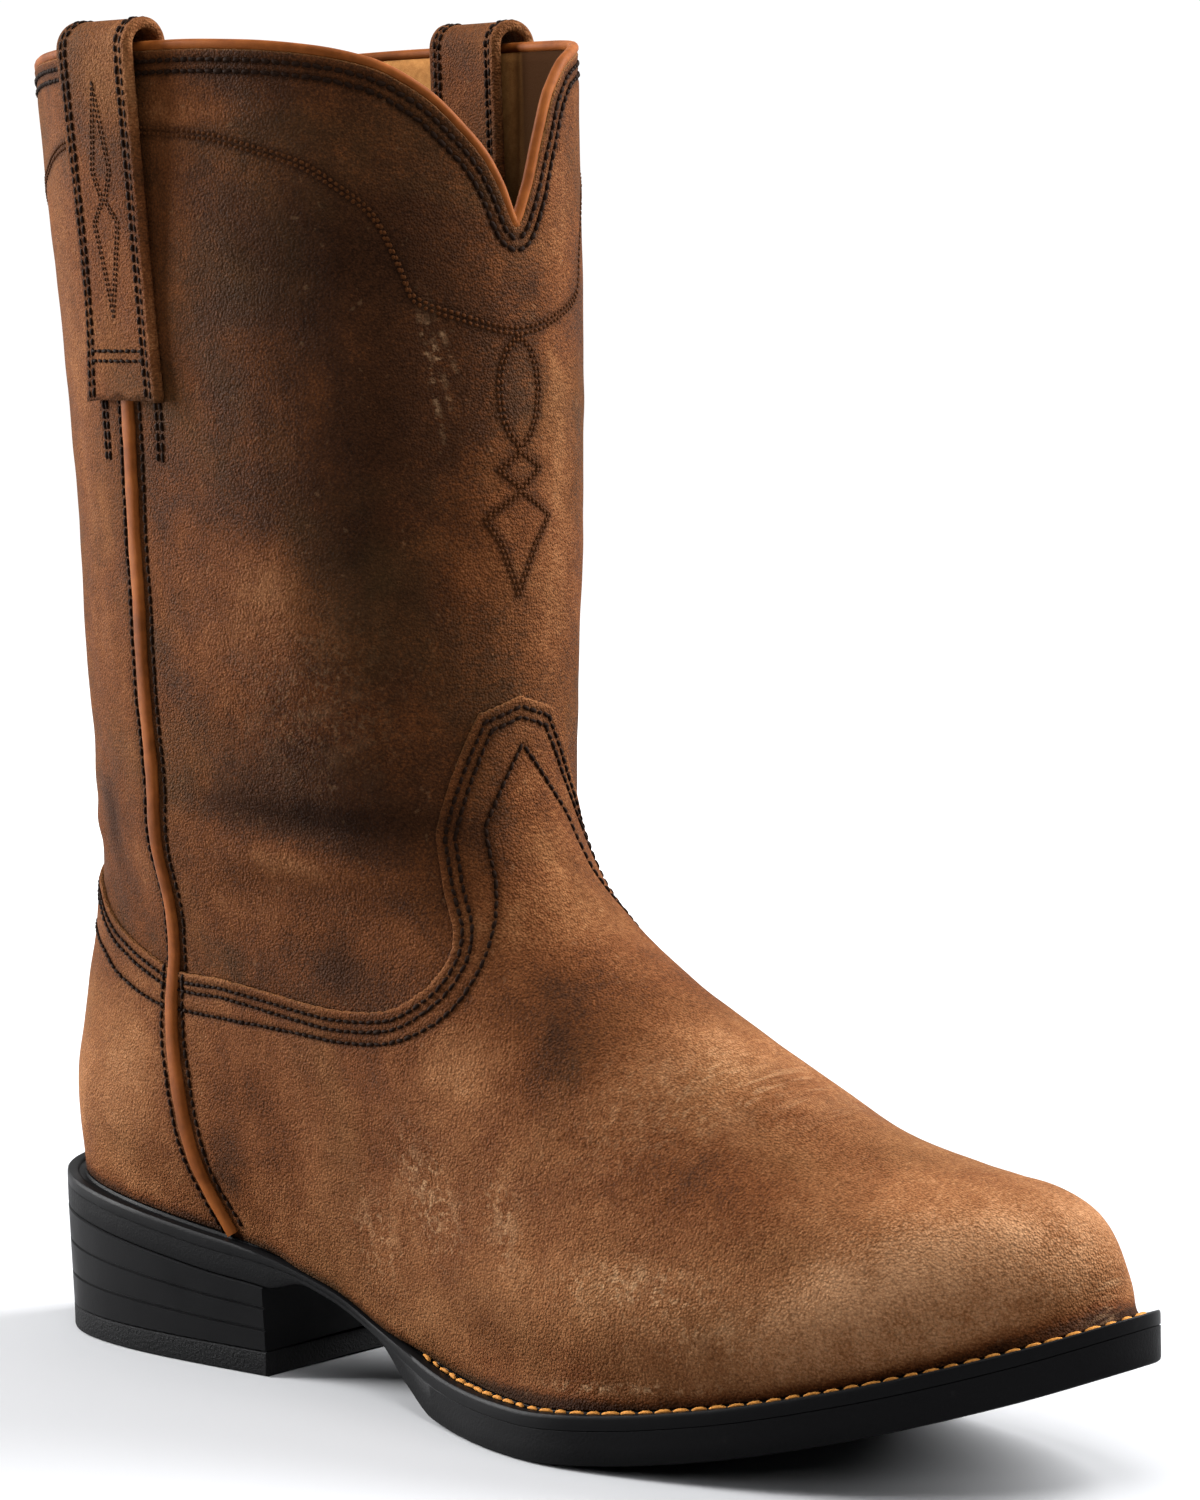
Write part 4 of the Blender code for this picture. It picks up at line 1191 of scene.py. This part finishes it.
def tan_leather(name):
    look = Look(name, 0.55, 0.03)
    value = look.math("ADD", look.math("MULTIPLY", look.noise(60.0, 4.0, 0.6), 0.7),
                      look.math("MULTIPLY", look.noise(420.0, 3.0, 0.6), 0.3))
    colour = look.ramp(value, ((0.30, (0.050, 0.013, 0.002)), (0.50, (0.112, 0.031, 0.006)),
                               (0.72, (0.170, 0.052, 0.011))))
    normal = look.bump(look.noise(800.0, 3.0, 0.6), 0.25, 0.00012)
    return look.finish(colour, normal)


def suede(name):
    look = Look(name, 0.95, 0.01)
    value = look.math("ADD", look.math("MULTIPLY", look.noise(45.0, 3.0, 0.6), 0.55),
                      look.math("MULTIPLY", look.noise(600.0, 4.0, 0.7), 0.45))
    colour = look.ramp(value, ((0.32, (0.160, 0.068, 0.020)), (0.52, (0.290, 0.132, 0.042)),
                               (0.70, (0.390, 0.200, 0.072))))
    # Painted shade on the lining, deep down and before the inner strap, from the darkening
    # attribute
    colour = look.mix(look.attribute("dark_and_shade"), colour, (0.020, 0.008, 0.003))
    # Painted shade: the suede darkens downward below the collar, and the footbed far down is nearly
    # black from it
    height = look.node("ShaderNodeSeparateXYZ", Vector=look.place).outputs["Z"]
    depth = look.scaled(height, 0.268, 0.302, 0.92, 0.0)
    colour = look.mix(depth, colour, (0.020, 0.009, 0.003))
    normal = look.bump(look.noise(1400.0, 4.0, 0.75), 0.55, 0.00035)
    return look.finish(colour, normal)


def rubber(name, rough, stipple, colour=(0.0042, 0.0042, 0.0045)):
    look = Look(name, rough, 0.03)
    dust = look.scaled(look.noise(130.0, 5.0, 0.7), 0.64, 0.82, 0.0, 0.22)
    shade = look.mix(dust, colour, (0.030, 0.029, 0.027))
    normal = look.bump(look.noise(1500.0, 2.0, 0.6), stipple, 0.00030,
                       look.bump(look.noise(90.0, 2.0, 0.5), 0.12, 0.0008))
    roughness = look.scaled(look.noise(70.0, 3.0, 0.6), 0.3, 0.7, rough - 0.05, rough + 0.10)
    return look.finish(shade, normal, roughness)


def thread(name, colour, rough=0.6):
    look = Look(name, rough, 0.015)
    twist = look.noise(2400.0, 2.0, 0.5)
    shade = look.mix(look.scaled(twist, 0.35, 0.65), tuple(c * 0.6 for c in colour), colour)
    return look.finish(shade, look.bump(twist, 0.4, 0.00012))


LEATHER = waxed_leather("waxed_leather", -0.225, 1.0)
STRAP_LEATHER = waxed_leather("strap_leather", -0.205, 0.8)
TAN = tan_leather("tan_cord")
SUEDE = suede("lining_suede")
FOOTBED = suede("footbed_leather")
RUBBER = rubber("sole_rubber", 0.40, 0.10)
EDGE_RUBBER = rubber("outsole_rubber", 0.52, 0.30)
LIFT_RUBBER = rubber("lift_rubber", 0.58, 1.0, (0.0075, 0.0075, 0.0078))
DARK_THREAD = thread("dark_thread", (0.0100, 0.0048, 0.0028))
FINE_THREAD = thread("fine_thread", (0.0480, 0.0165, 0.0052))
MOTIF_THREAD = thread("motif_thread", (0.0250, 0.0100, 0.0038))
GOLD_THREAD = thread("gold_thread", (0.400, 0.170, 0.038), 0.5)


# Upper

FOOT_CROWDING = 1.15         # rows crowd to the sole
FOOT_LIP = 0.0004            # last row of the vamp under its cut edge
SHAFT_LIP = 0.0003           # last row of the shaft under the collar
SHAFT_TUCK = 0.0035          # how far the shaft runs down behind the vamp
FEATHER_TUCK = 0.0026        # how far the vamp turns in over the welt
FRAY = 0.00016               # unevenness of the cut edges

# The cut edge: how far each row lies under the rim and in from the face, and how
# much raw leather shows
LIP = rows_of(
    "drop deep raw",
    (0.0, 0.00012, 0.25),
    (-0.00012, 0.0004, 0.6),
    (0.0, 0.0009, 0.7),
    (0.0003, 0.0016, 0.4),
)


def build_leather():
    around = columns_around(LEATHER_COLUMNS)
    edge = edge_height(around)
    share = np.linspace(0.0, 1.0, FOOT_ROWS)[:, None] ** FOOT_CROWDING
    foot = LAST.level(0.0) + (edge - FOOT_LIP - LAST.level(0.0)) * share
    build_shell("vamp_and_counter", around, foot, edge, True)
    share = np.linspace(0.0, 1.0, SHAFT_ROWS)[:, None]
    collar = collar_height(around)
    low = edge - SHAFT_TUCK
    leg = low + (collar - SHAFT_LIP - low) * share
    build_shell("shaft", around, leg, collar, False)


def build_shell(name, around, heights, rim, is_foot):
    """The outer leather with a turned-over cut edge along its rim."""
    wide = np.broadcast_to(around, heights.shape)
    base = LAST.face(wide, heights)
    out = LAST.outward(wide, heights)
    relief, dark_and_shade, tone, scuff = leather_fields(base.reshape(-1, 3))
    shape = heights.shape
    relief, dark_and_shade, tone, scuff = [v.reshape(shape) for v in (relief, dark_and_shade, tone, scuff)]
    depth = 0.0 if is_foot else shaft_depth(wide, heights)
    rows = list(base + out * (relief - depth)[..., None])
    fields = {"dark_and_shade": list(dark_and_shade), "tone": list(tone), "scuff": list(scuff),
              "raw": [np.zeros(len(around))] * len(rows)}
    fray = FRAY * np.sin(around * 1900.0) * np.sin(around * 733.0 + 1.0)
    rim = rim + (fray if is_foot else 0.6 * fray)
    top_out = LAST.outward(around, rim)
    lip_depth = relief[-1] - (0.0 if is_foot else shaft_depth(around, rim))
    for row in LIP:
        shifted = LAST.face(around, rim - row.drop)
        rows.append(shifted + top_out * (lip_depth - row.deep)[..., None])
        for key, values in (("dark_and_shade", dark_and_shade[-1] * 0.4), ("tone", tone[-1]), ("scuff", scuff[-1])):
            fields[key].append(values)
        fields["raw"].append(np.full(len(around), row.raw * (0.35 if is_foot else 1.0)))
    if is_foot:
        under = rows[0] - LAST.outward(around, heights[0]) * FEATHER_TUCK
        rows.insert(0, under)
        for key in fields:
            fields[key].insert(0, fields[key][0])
    points = np.array(rows).reshape(-1, 3)
    flat = {key: np.concatenate([np.asarray(v) for v in values]) for key, values in fields.items()}
    if is_foot:
        # Painted shade along the upper's foot just above the welt, and painted light toward the toe
        rise = (points[:, 2] - sole_top(points[:, 0])) / MM
        painted_toe_light = smooth(points[:, 0], 0.17, 0.29)
        flat["tone"] = flat["tone"] + 0.10 - 0.30 * bell(rise, 2.2) + 0.10 * painted_toe_light
    faces = grid_faces(len(rows), len(around))
    add_mesh(name, points, faces, LEATHER, "upper", flat)


def build_lining():
    """Suede with painted shade: darker downward, and in the corner before the inner strap."""
    around = columns_around(LINING_COLUMNS)
    collar = collar_height(around)
    low = LAST.level(0.012)
    rows = []
    for share in np.linspace(0.0, 1.0, LINING_ROWS):
        height = low + (collar - 0.0002 - low) * share
        depth = WALL + OVERLAY * (1.0 - smooth(height, 0.10, 0.18))
        rows.append(LAST.at(around, height, depth))
    rows.append(LAST.at(around, collar, np.full(len(around), WALL * 0.62)))
    points = np.array(rows).reshape(-1, 3)
    # Painted shade: darker far below the collar, and in a band on the inner side between the strap
    # and the front
    drop = (np.tile(collar, len(rows)) - points[:, 2]) / MM
    wide = np.tile(around, len(rows))
    corner = smooth(wide, 0.792, 0.808) * smooth(-wide, -0.985, -0.955)
    dark_and_shade = np.maximum(0.55 * smooth(drop, 60.0, 200.0), corner)
    add_mesh("lining", points, grid_faces(len(rows), len(around), True, True), SUEDE,
             "upper", {"dark_and_shade": dark_and_shade})


def build_insole():
    ring = inset(LAST.face(columns_around(240), LAST.level(0.0))[:, :2], WALL + OVERLAY - 0.0004)
    middle = ring.mean(0)
    rows = []
    for share in (1.0, 0.985, 0.90, 0.7, 0.5, 0.3, 0.1):
        plan = np.stack([middle[0] + (ring[:, 0] - middle[0]) * share,
                         middle[1] + (ring[:, 1] - middle[1]) * share], 1)
        lift = INSOLE_THICKNESS * (0.55 if share == 1.0 else 1.0)
        rows.append(on_face(plan, lambda x: sole_top(x) + CLEARANCE + lift))
    points = np.array(rows).reshape(-1, 3)
    faces = [list(f) for f in grid_faces(len(rows), len(ring), True)]
    last = (len(rows) - 1) * len(ring)
    faces.append(list(range(last, last + len(ring))))
    add_mesh("footbed", points, faces, FOOTBED, "insole",
             {"dark_and_shade": np.full(len(points), 0.35)})


# Trim

def build_binding():
    around = columns_around(BINDING_COLUMNS)
    height = collar_height(around)
    depth = shaft_depth(around, height)
    rim = LAST.at(around, height, depth + WALL * 0.60)
    face = LAST.outward(around, height)
    along = unit(unit(np.roll(rim, -1, 0) - rim) + unit(rim - np.roll(rim, 1, 0)))
    above = unit(np.cross(along, face))
    above = above * np.sign(above[:, 2:3])
    path = rim + above * (CORD_RADIUS * 0.80)
    add_ring_cord("collar_cord", path, face, CORD_RADIUS * 0.92, TAN, "collar_binding")


def build_piping(side):
    heights = np.linspace(LAST.level(0.0) + 0.0006, LAST.level(PIPING_END), PIPING_ROWS)
    around = seam_around(heights, side)
    base, out = leather_point(around, heights)
    kernel = np.hanning(2 * PIPING_EASE + 1)
    kernel /= kernel.sum()
    first = base[:1] + (base[:1] - base[1:2]) * np.arange(PIPING_EASE, 0, -1)[:, None]
    last = base[-1:] + (base[-1:] - base[-2:-1]) * np.arange(1, PIPING_EASE + 1)[:, None]
    padded = np.vstack([first, base, last])
    base = np.stack([np.convolve(padded[:, k], kernel, "valid") for k in range(3)], 1)
    along = unit(np.gradient(base, axis=0))
    across = unit(np.cross(along, out))
    angles = np.linspace(0.0, 2.0 * math.pi, CORD_SIDES, endpoint=False)
    swell = 1.0 + 0.03 * np.sin(heights * 900.0) + 0.03 * np.sin(heights * 410.0)
    reach = np.cos(angles)[None, :] * PIPING_WIDTH * PIPING_FILL * swell[:, None]
    stand = np.sin(angles)[None, :] * PIPING_HEIGHT / 2.0 + 0.0001
    rings = base[:, None] + across[:, None] * reach[..., None] + out[:, None] * stand[..., None]
    name = "piping" + SIDE_NAMES[side]
    add_mesh(name + "_cord", rings.reshape(-1, 3), grid_faces(len(base), CORD_SIDES), TAN, name)


def strap_line(side, offset, hem):
    """A line of the strap: up the wall, over the collar and down inside."""
    shares = np.linspace(hem, 1.0, STRAP_LEG_ROWS)
    heights = LAST.level(shares)
    around = seam_around(heights, side) + offset * table_curve(STRAP_FLARE, shares) / SHAFT_GIRTH
    stand = smooth(shares, STRAP_SEWN, 1.0)
    half = STRAP_THICKNESS / 2.0 + 0.0002
    wall = LAST.face(around, heights)
    out = LAST.outward(around, heights)
    depth = shaft_depth(around, heights)[:, None]
    outer = wall + out * ((half + STRAP_STAND_OUT * stand)[:, None] - depth)
    inner = wall - out * (WALL + (half + STRAP_STAND_IN * stand)[:, None] + depth)
    rise = np.array([0.0, 0.0, STRAP_RISE])
    first = outer[-1] + rise
    last = inner[-1] + rise
    middle = (first + last) / 2.0
    radius = np.linalg.norm(first - last) / 2.0
    outward = unit(first - last)
    angles = np.linspace(0.0, math.pi, STRAP_BEND_ROWS)[:, None]
    bend = middle + radius * (outward * np.cos(angles) + np.array([0.0, 0.0, 1.0]) * np.sin(angles))
    return np.vstack([outer, bend, inner[::-1]])


def strap_hem(offset):
    """Share of the leg where the hem lies, with its notch over the piping."""
    notch = 0.007 * np.exp(-(offset / 0.0022) ** 2)
    ears = 0.004 * np.exp(-((np.abs(offset) - 0.0068) / 0.0028) ** 2)
    return STRAP_HEM + notch + ears


def strap_face(offsets, side):
    """Lines along the strap at a row of offsets, with directions across and out."""
    lines = np.array([strap_line(side, offset, strap_hem(offset)) for offset in offsets])
    along = unit(np.gradient(lines, axis=1))
    across = unit(np.gradient(lines, axis=0))
    out = unit(np.cross(along, across))
    height = np.array([SEWN_HEIGHT])
    hint = LAST.outward(seam_around(height, side), height)[0]
    if out[len(offsets) // 2, 5] @ hint < 0.0:
        out = -out
    return lines, across, out


def strap_path(side, offset):
    """One line along the strap's middle layer, and its directions out."""
    near = np.array([offset - STRAP_NEAR, offset, offset + STRAP_NEAR])
    lines, across, out = strap_face(near, side)
    return lines[1], out[1]


def build_strap(side):
    """A folded strap with rolled edges, stitched in rows that sink into it."""
    half = STRAP_WIDTH / 2.0
    offsets = np.linspace(-1.0, 1.0, STRAP_COLUMNS) * (half - STRAP_THICKNESS * 0.40)
    lines, across, out = strap_face(offsets, side)
    size = np.abs(offsets)
    roll = bell(size - (half - 0.0017), 0.0011)
    trough = sum(bell(size - row, 0.0006) for row in STRAP_OFFSETS)
    thick = STRAP_THICKNESS / 2.0 * (0.80 + 0.30 * roll - 0.16 * trough)
    front = lines + out * thick[:, None, None]
    back = lines - out * (STRAP_THICKNESS / 2.0 * 0.8)
    left = []
    right = []
    for angle in np.linspace(0.30, math.pi - 0.30, 6):
        for edge, sign, rows in ((-1, 1.0, right), (0, -1.0, left)):
            reach = STRAP_THICKNESS * 0.42 * math.sin(angle)
            rise = thick[edge] * math.cos(angle)
            rows.append(lines[edge] + across[edge] * (sign * reach) + out[edge] * rise)
    ring = np.array(list(front) + right + list(back[::-1]) + left[::-1])
    ring = ring.transpose(1, 0, 2)
    rows, columns = ring.shape[:2]
    faces = grid_faces(rows, columns).tolist()
    faces.append(list(range(columns)))
    faces.append(list(range((rows - 1) * columns, rows * columns)))
    tall = ring[..., 2].reshape(-1)
    dark_and_shade = np.zeros((rows, columns))
    # Painted shade in the strap's stitch troughs
    dark_and_shade[:, :STRAP_COLUMNS] = (0.45 * trough)[None, :]
    dark_and_shade[0] = 0.3
    tone = 0.05 * drift(ring.reshape(-1, 3), 0.03, 11) + 0.06 * smooth(tall, 0.26, 0.31)
    name = "pull_strap" + SIDE_NAMES[side]
    blank = np.zeros(rows * columns)
    add_mesh(name + "_leather", ring.reshape(-1, 3), faces, STRAP_LEATHER, name,
             {"dark_and_shade": dark_and_shade.reshape(-1), "tone": tone, "scuff": blank, "raw": blank})
    heavy = [strap_run(side, offset) for row in STRAP_OFFSETS for offset in (-row, row)]
    heavy += [strap_cross(side, share) for share in STRAP_CROSSINGS]
    strap_beads(name + "_stitches", heavy, STRAP_STITCH, DARK_THREAD, name)
    fine = [strap_motif(side, flank, inward) for flank in (1, -1) for inward in MOTIF_OFFSETS]
    strap_beads(name + "_motif", fine, MOTIF_STITCH, MOTIF_THREAD, name)


def strap_run(side, offset):
    """A row of stitches from the hem over the collar and down inside."""
    line, out = strap_path(side, offset)
    return (line + out * STRAP_THICKNESS * 0.39)[:RUN_ROWS], out[:RUN_ROWS]


def strap_cross(side, share):
    """A row of stitches across the strap."""
    height = LAST.level(share)
    places = []
    outs = []
    for offset in np.linspace(-CROSSING_REACH, CROSSING_REACH, 48):
        line, out = strap_path(side, offset)
        index = int(np.argmin(np.abs(line[:STRAP_LEG_ROWS, 2] - height)))
        places.append(line[index] + out[index] * STRAP_THICKNESS * 0.41)
        outs.append(out[index])
    places = np.array(places)
    places[:, 2] = np.linspace(places[:3, 2].mean(), places[-3:, 2].mean(), len(places))
    return places, np.array(outs)


def strap_motif(side, flank, inward):
    """A row of the strap's ornament on one flank."""
    places = []
    outs = []
    last_row = STRAP_LEG_ROWS - 1
    for height in np.linspace(MOTIF_FROM, MOTIF_TO, 90):
        offset = flank * max(half_width(STRAP_LANCE, height) - inward, 0.0)
        hem = strap_hem(offset)
        index = (LAST.share(height) - hem) / (1.0 - hem) * last_row
        line, out = strap_path(side, offset)
        low = int(np.clip(math.floor(index), 0, last_row - 1))
        part = index - low
        place = line[low] * (1.0 - part) + line[low + 1] * part
        places.append(place + out[low] * STRAP_THICKNESS * 0.40)
        outs.append(out[low])
    return np.array(places), np.array(outs)


def strap_beads(name, runs, stitch, look, node):
    """Stitches along lines on a strap."""
    centres = []
    along = []
    outs = []
    for places, out in runs:
        run = run_length(places)
        at = np.arange(stitch.gap * 0.7, run[-1] - stitch.gap * 0.3, stitch.gap)
        middle = along_run(at, run, places)
        centres.append(middle)
        along.append(unit(np.gradient(middle, axis=0)))
        outs.append(unit(along_run(at, run, out)))
    add_beads(name, np.vstack(centres), np.vstack(along), np.vstack(outs), stitch, look, node)


# Sole

# Profiles of the sole's pieces: how far inward from the edge, and how high
WELT_PROFILE = rows_of(
    "inward drop",
    (0.0, 0.0031),
    (0.0, 0.0024),
    (0.0, 0.0009),
    (0.0001, 0.0003),
    (0.0004, 0.0),
    (0.0022, 0.0),
    (0.0026, 0.0002),
    (0.0028, 0.0006),
    (0.0042, 0.0006),
    (0.0045, 0.0),
    (WELT_SEAT, 0.0),
)
OUTSOLE_PROFILE = rows_of(
    "inward rise",
    (0.0030, 0.0),
    (0.0009, 0.0),
    (0.0002, 0.0003),
    (0.0, 0.0009),
    (0.0, 0.004),
)
OUTSOLE_LINE = 0.00035       # depth of the line between outsole and welt
HEEL_GROOVE = 0.0005
HEEL_SAMPLES = 90
GROOVE_PROFILE = rows_of(
    "shift deep",
    (-0.00040, 0.0),
    (-0.00015, HEEL_GROOVE),
    (0.00015, HEEL_GROOVE),
    (0.00040, 0.0),
)
LIFT_PROFILE = rows_of(
    "inward height",
    (0.0008, 0.0),
    (0.0002, 0.0003),
    (0.0, 0.0008),
    (0.0, CAP_THICKNESS - 0.0003),
    (0.0004, CAP_THICKNESS),
)


def ring_rows(rows, name, look, node, sharp, capped=True):
    """A mesh of rings, with flat ends where it is capped."""
    points = np.array(rows).reshape(-1, 3)
    columns = len(rows[0])
    half = columns // 2
    faces = grid_faces(len(rows), columns).tolist()
    ends = (0, (len(rows) - 1) * columns) if capped else ()
    for first in ends:
        faces.append([first, first + 1, first + columns - 1])
        for i in range(1, half - 1):
            faces.append([first + i, first + i + 1, first + columns - i - 1, first + columns - i])
        faces.append([first + half - 1, first + half, first + half + 1])
    add_mesh(name, points, faces, look, node, None, sharp)


def build_welt():
    """The strip round the sole's top, with the groove that holds its stitches."""
    rows = []
    for row in WELT_PROFILE:
        share = row.drop / WELT_THICKNESS
        rows.append(on_face(sole_ring(row.inward),
                            lambda x: sole_top(x) - share * edge_size(x, "welt")))
    ring_rows(rows, "welt_strip", RUBBER, "welt", 40, False)


def build_outsole():
    """The rubber plate, with a fine line under the welt at the forefoot."""
    rows = []
    for row in OUTSOLE_PROFILE:
        rows.append(on_face(sole_ring(row.inward), lambda x: np.minimum(
            outsole_bottom(x) + row.rise, outsole_top(x) - 0.0008)))
    edge = sole_ring()
    rows.append(on_face(edge, lambda x: outsole_top(x) - 0.0004))
    fore = smooth(edge[:, 0], 0.40 * SOLE_LENGTH, 0.55 * SOLE_LENGTH)
    line = edge + (sole_ring(OUTSOLE_LINE) - edge) * fore[:, None]
    for drop in (0.00015, -0.0002):
        rows.append(on_face(line, lambda x: outsole_top(x) - drop))
    inner = sole_ring(WELT_SEAT)
    rows.append(on_face(inner, lambda x: outsole_top(x) - 0.0002))
    rows.append(on_face(inner, lambda x: sole_top(x) - 0.0001))
    ring_rows(rows, "outsole_body", EDGE_RUBBER, "outsole", 40)


def heel_ring(distance, groove=0.0):
    """Plan of the heel; a groove cuts its sides and back but not its breast."""
    sides = []
    for side in inset_sides(distance + groove):
        behind = side[side[:, 0] < HEEL_LENGTH]
        corner = [HEEL_LENGTH, np.interp(HEEL_LENGTH, side[::-1, 0], side[::-1, 1])]
        sides.append(resample(np.vstack([corner, behind]), HEEL_SAMPLES))
    middle = [HEEL_LENGTH - BREAST_HOLLOW, (sides[0][0, 1] + sides[1][0, 1]) / 2.0]
    return np.vstack([middle, sides[0], sides[1][-2::-1]])


def heel_row(share, shift, groove):
    """A ring of the heel block at a share of its height."""
    ring = heel_ring(HEEL_TAPER * (1.0 - share), groove)
    return on_face(ring, lambda x: CAP_THICKNESS + shift
                   + share * (outsole_bottom(x) - CAP_THICKNESS))


def build_heel_block():
    rows = [heel_row(0.0, 0.0001, HEEL_GROOVE), heel_row(0.0, 0.0004, 0.0)]
    for band in range(1, HEEL_BANDS):
        rows += [heel_row(band / HEEL_BANDS, row.shift, row.deep) for row in GROOVE_PROFILE]
    rows += [heel_row(1.0, -0.0004, 0.0), heel_row(1.0, -0.0001, HEEL_GROOVE)]
    ring_rows(rows, "heel_block", RUBBER, "heel_stack", 35)


def build_heel_lift():
    rows = []
    for row in LIFT_PROFILE:
        ring = heel_ring(HEEL_TAPER + row.inward)
        rows.append(np.column_stack([ring, np.full(len(ring), row.height)]))
    ring_rows(rows, "heel_lift", LIFT_RUBBER, "heel_cap", 35)


def build_welt_stitches():
    """Gold stitches in the welt's groove, round the front of the boot."""
    ring = sole_ring(WELT_ROW, 1600)
    place = on_face(ring, lambda x: sole_top(x) - 0.0002)
    count = len(ring)
    front = [i for i in range(-count // 2, count // 2)
             if ring[i % count, 0] > WELT_ROW_FROM * SOLE_LENGTH]
    path = place[np.array(front) % count]
    run = run_length(path)
    middle = along_run(np.arange(0.002, run[-1] - 0.002, WELT_STITCH.gap), run, path)
    along = unit(np.gradient(middle, axis=0))
    out = np.tile(np.array([[0.0, 0.0, 1.0]]), (len(middle), 1))
    add_beads("welt_stitches", middle, along, out, WELT_STITCH, GOLD_THREAD, "welt")


build_leather()
build_lining()
build_insole()
build_binding()
for side in SIDES:
    build_piping(side)
    build_strap(side)
stitch_lines("heavy_stitches", HEAVY, HEAVY_STITCH, DARK_THREAD)
stitch_lines("collar_stitches", COLLAR, COLLAR_STITCH, DARK_THREAD)
stitch_lines("fine_stitches", FINE, FINE_STITCH, FINE_THREAD)
build_welt()
build_outsole()
build_heel_block()
build_heel_lift()
build_welt_stitches()


# Setting

def build_floor():
    """Pale paper that glows far from the boot, so that it meets the white room."""
    look = Look("paper", 0.9, 0.1)
    away = look.node("ShaderNodeVectorMath", {"operation": "LENGTH"})
    look.feed(away.inputs[0], look.place)
    glow = look.scaled(away.outputs["Value"], 0.34, 1.00, 0.0, 0.90)
    look.feed(look.shader.inputs["Emission Color"], (1.0, 1.0, 1.0, 1.0))
    look.feed(look.shader.inputs["Emission Strength"], glow)
    paper = look.finish((0.275, 0.278, 0.286))
    mesh = bpy.data.meshes.new("floor")
    size = 12.0
    mesh.from_pydata([(-size, -size, 0), (size, -size, 0), (size, size, 0), (-size, size, 0)], [],
                     [(0, 1, 2, 3)])
    mesh.materials.append(paper)
    floor = bpy.data.objects.new("floor", mesh)
    bpy.context.scene.collection.objects.link(floor)


def build_world():
    """A white room that is darker on the camera's side."""
    world = bpy.data.worlds.new("room")
    world.use_nodes = True
    tree = world.node_tree
    background = tree.nodes["Background"]
    place = tree.nodes.new("ShaderNodeTexCoord")
    dot = tree.nodes.new("ShaderNodeVectorMath")
    dot.operation = "DOT_PRODUCT"
    tree.links.new(place.outputs["Generated"], dot.inputs[0])
    facing = math.radians(43.2)
    dot.inputs[1].default_value = (math.sin(facing), -math.cos(facing), 0.15)
    ramp = tree.nodes.new("ShaderNodeValToRGB")
    fade = tree.nodes.new("ShaderNodeMapRange")
    fade.inputs["From Min"].default_value = -1.0
    fade.inputs["From Max"].default_value = 1.0
    tree.links.new(dot.outputs["Value"], fade.inputs["Value"])
    tree.links.new(fade.outputs[0], ramp.inputs["Fac"])
    ramp.color_ramp.elements[0].position = 0.25
    ramp.color_ramp.elements[0].color = (1.0, 1.0, 1.0, 1.0)
    ramp.color_ramp.elements[1].position = 0.50
    ramp.color_ramp.elements[1].color = (0.020, 0.020, 0.021, 1.0)
    tree.links.new(ramp.outputs["Color"], background.inputs["Color"])
    background.inputs["Strength"].default_value = 1.05
    bpy.context.scene.world = world


def build_lamp(name, azimuth, elevation, distance, size, power, colour=(1.0, 1.0, 1.0)):
    """A soft box that looks at the boot."""
    data = bpy.data.lights.new(name, "AREA")
    data.shape = "RECTANGLE"
    data.size = size[0]
    data.size_y = size[1]
    data.energy = power
    data.color = colour
    lamp = bpy.data.objects.new(name, data)
    a = math.radians(azimuth)
    e = math.radians(elevation)
    back = np.array([math.sin(a) * math.cos(e), -math.cos(a) * math.cos(e), math.sin(e)])
    aim = np.array([0.11, 0.0, 0.14])
    lamp.location = aim + back * distance
    turn = Matrix(look_axes(back)).transposed()
    lamp.rotation_euler = turn.to_euler()
    bpy.context.scene.collection.objects.link(lamp)


def look_axes(back):
    right = unit(np.cross(np.array([0.0, 0.0, 1.0]), back))
    return [right.tolist(), np.cross(back, right).tolist(), back.tolist()]


def build_camera():
    """The photo's camera, fitted to the boot."""
    azimuth = math.radians(43.237)
    elevation = math.radians(6.268)
    roll = math.radians(-1.402)
    back = np.array([math.sin(azimuth) * math.cos(elevation),
                     -math.cos(azimuth) * math.cos(elevation), math.sin(elevation)])
    right = np.array([math.cos(azimuth), math.sin(azimuth), 0.0])
    up = np.cross(right, -back)
    rolled = right * math.cos(roll) + up * math.sin(roll)
    upright = -right * math.sin(roll) + up * math.cos(roll)
    target = np.array([0.154031, 0.003393, 0.142917]) + SHIFT
    data = bpy.data.cameras.new("camera")
    data.sensor_fit = "AUTO"
    data.sensor_width = 36.0
    data.lens = 4835.116 * 36.0 / 1500.0
    data.shift_x = 35.473 / 1500.0
    data.shift_y = 11.194 / 1500.0
    camera = bpy.data.objects.new("camera", data)
    bpy.context.scene.collection.objects.link(camera)
    camera.location = target + back * 1.070698
    axes = Matrix([rolled.tolist(), upright.tolist(), back.tolist()]).transposed()
    camera.rotation_euler = axes.to_euler()
    data.clip_start = 0.05
    data.clip_end = 40.0
    bpy.context.scene.camera = camera


build_floor()
build_world()
build_lamp("right_rim", 150, 34, 1.5, (0.8, 1.3), 100)
build_lamp("left_side", -66, 20, 1.5, (0.6, 1.2), 90)
build_lamp("top", 66, 76, 1.5, (1.1, 1.1), 34)
build_lamp("front_fill", 54, 30, 2.0, (0.8, 0.8), 10)
build_camera()
bpy.context.scene.view_settings.view_transform = "Standard"
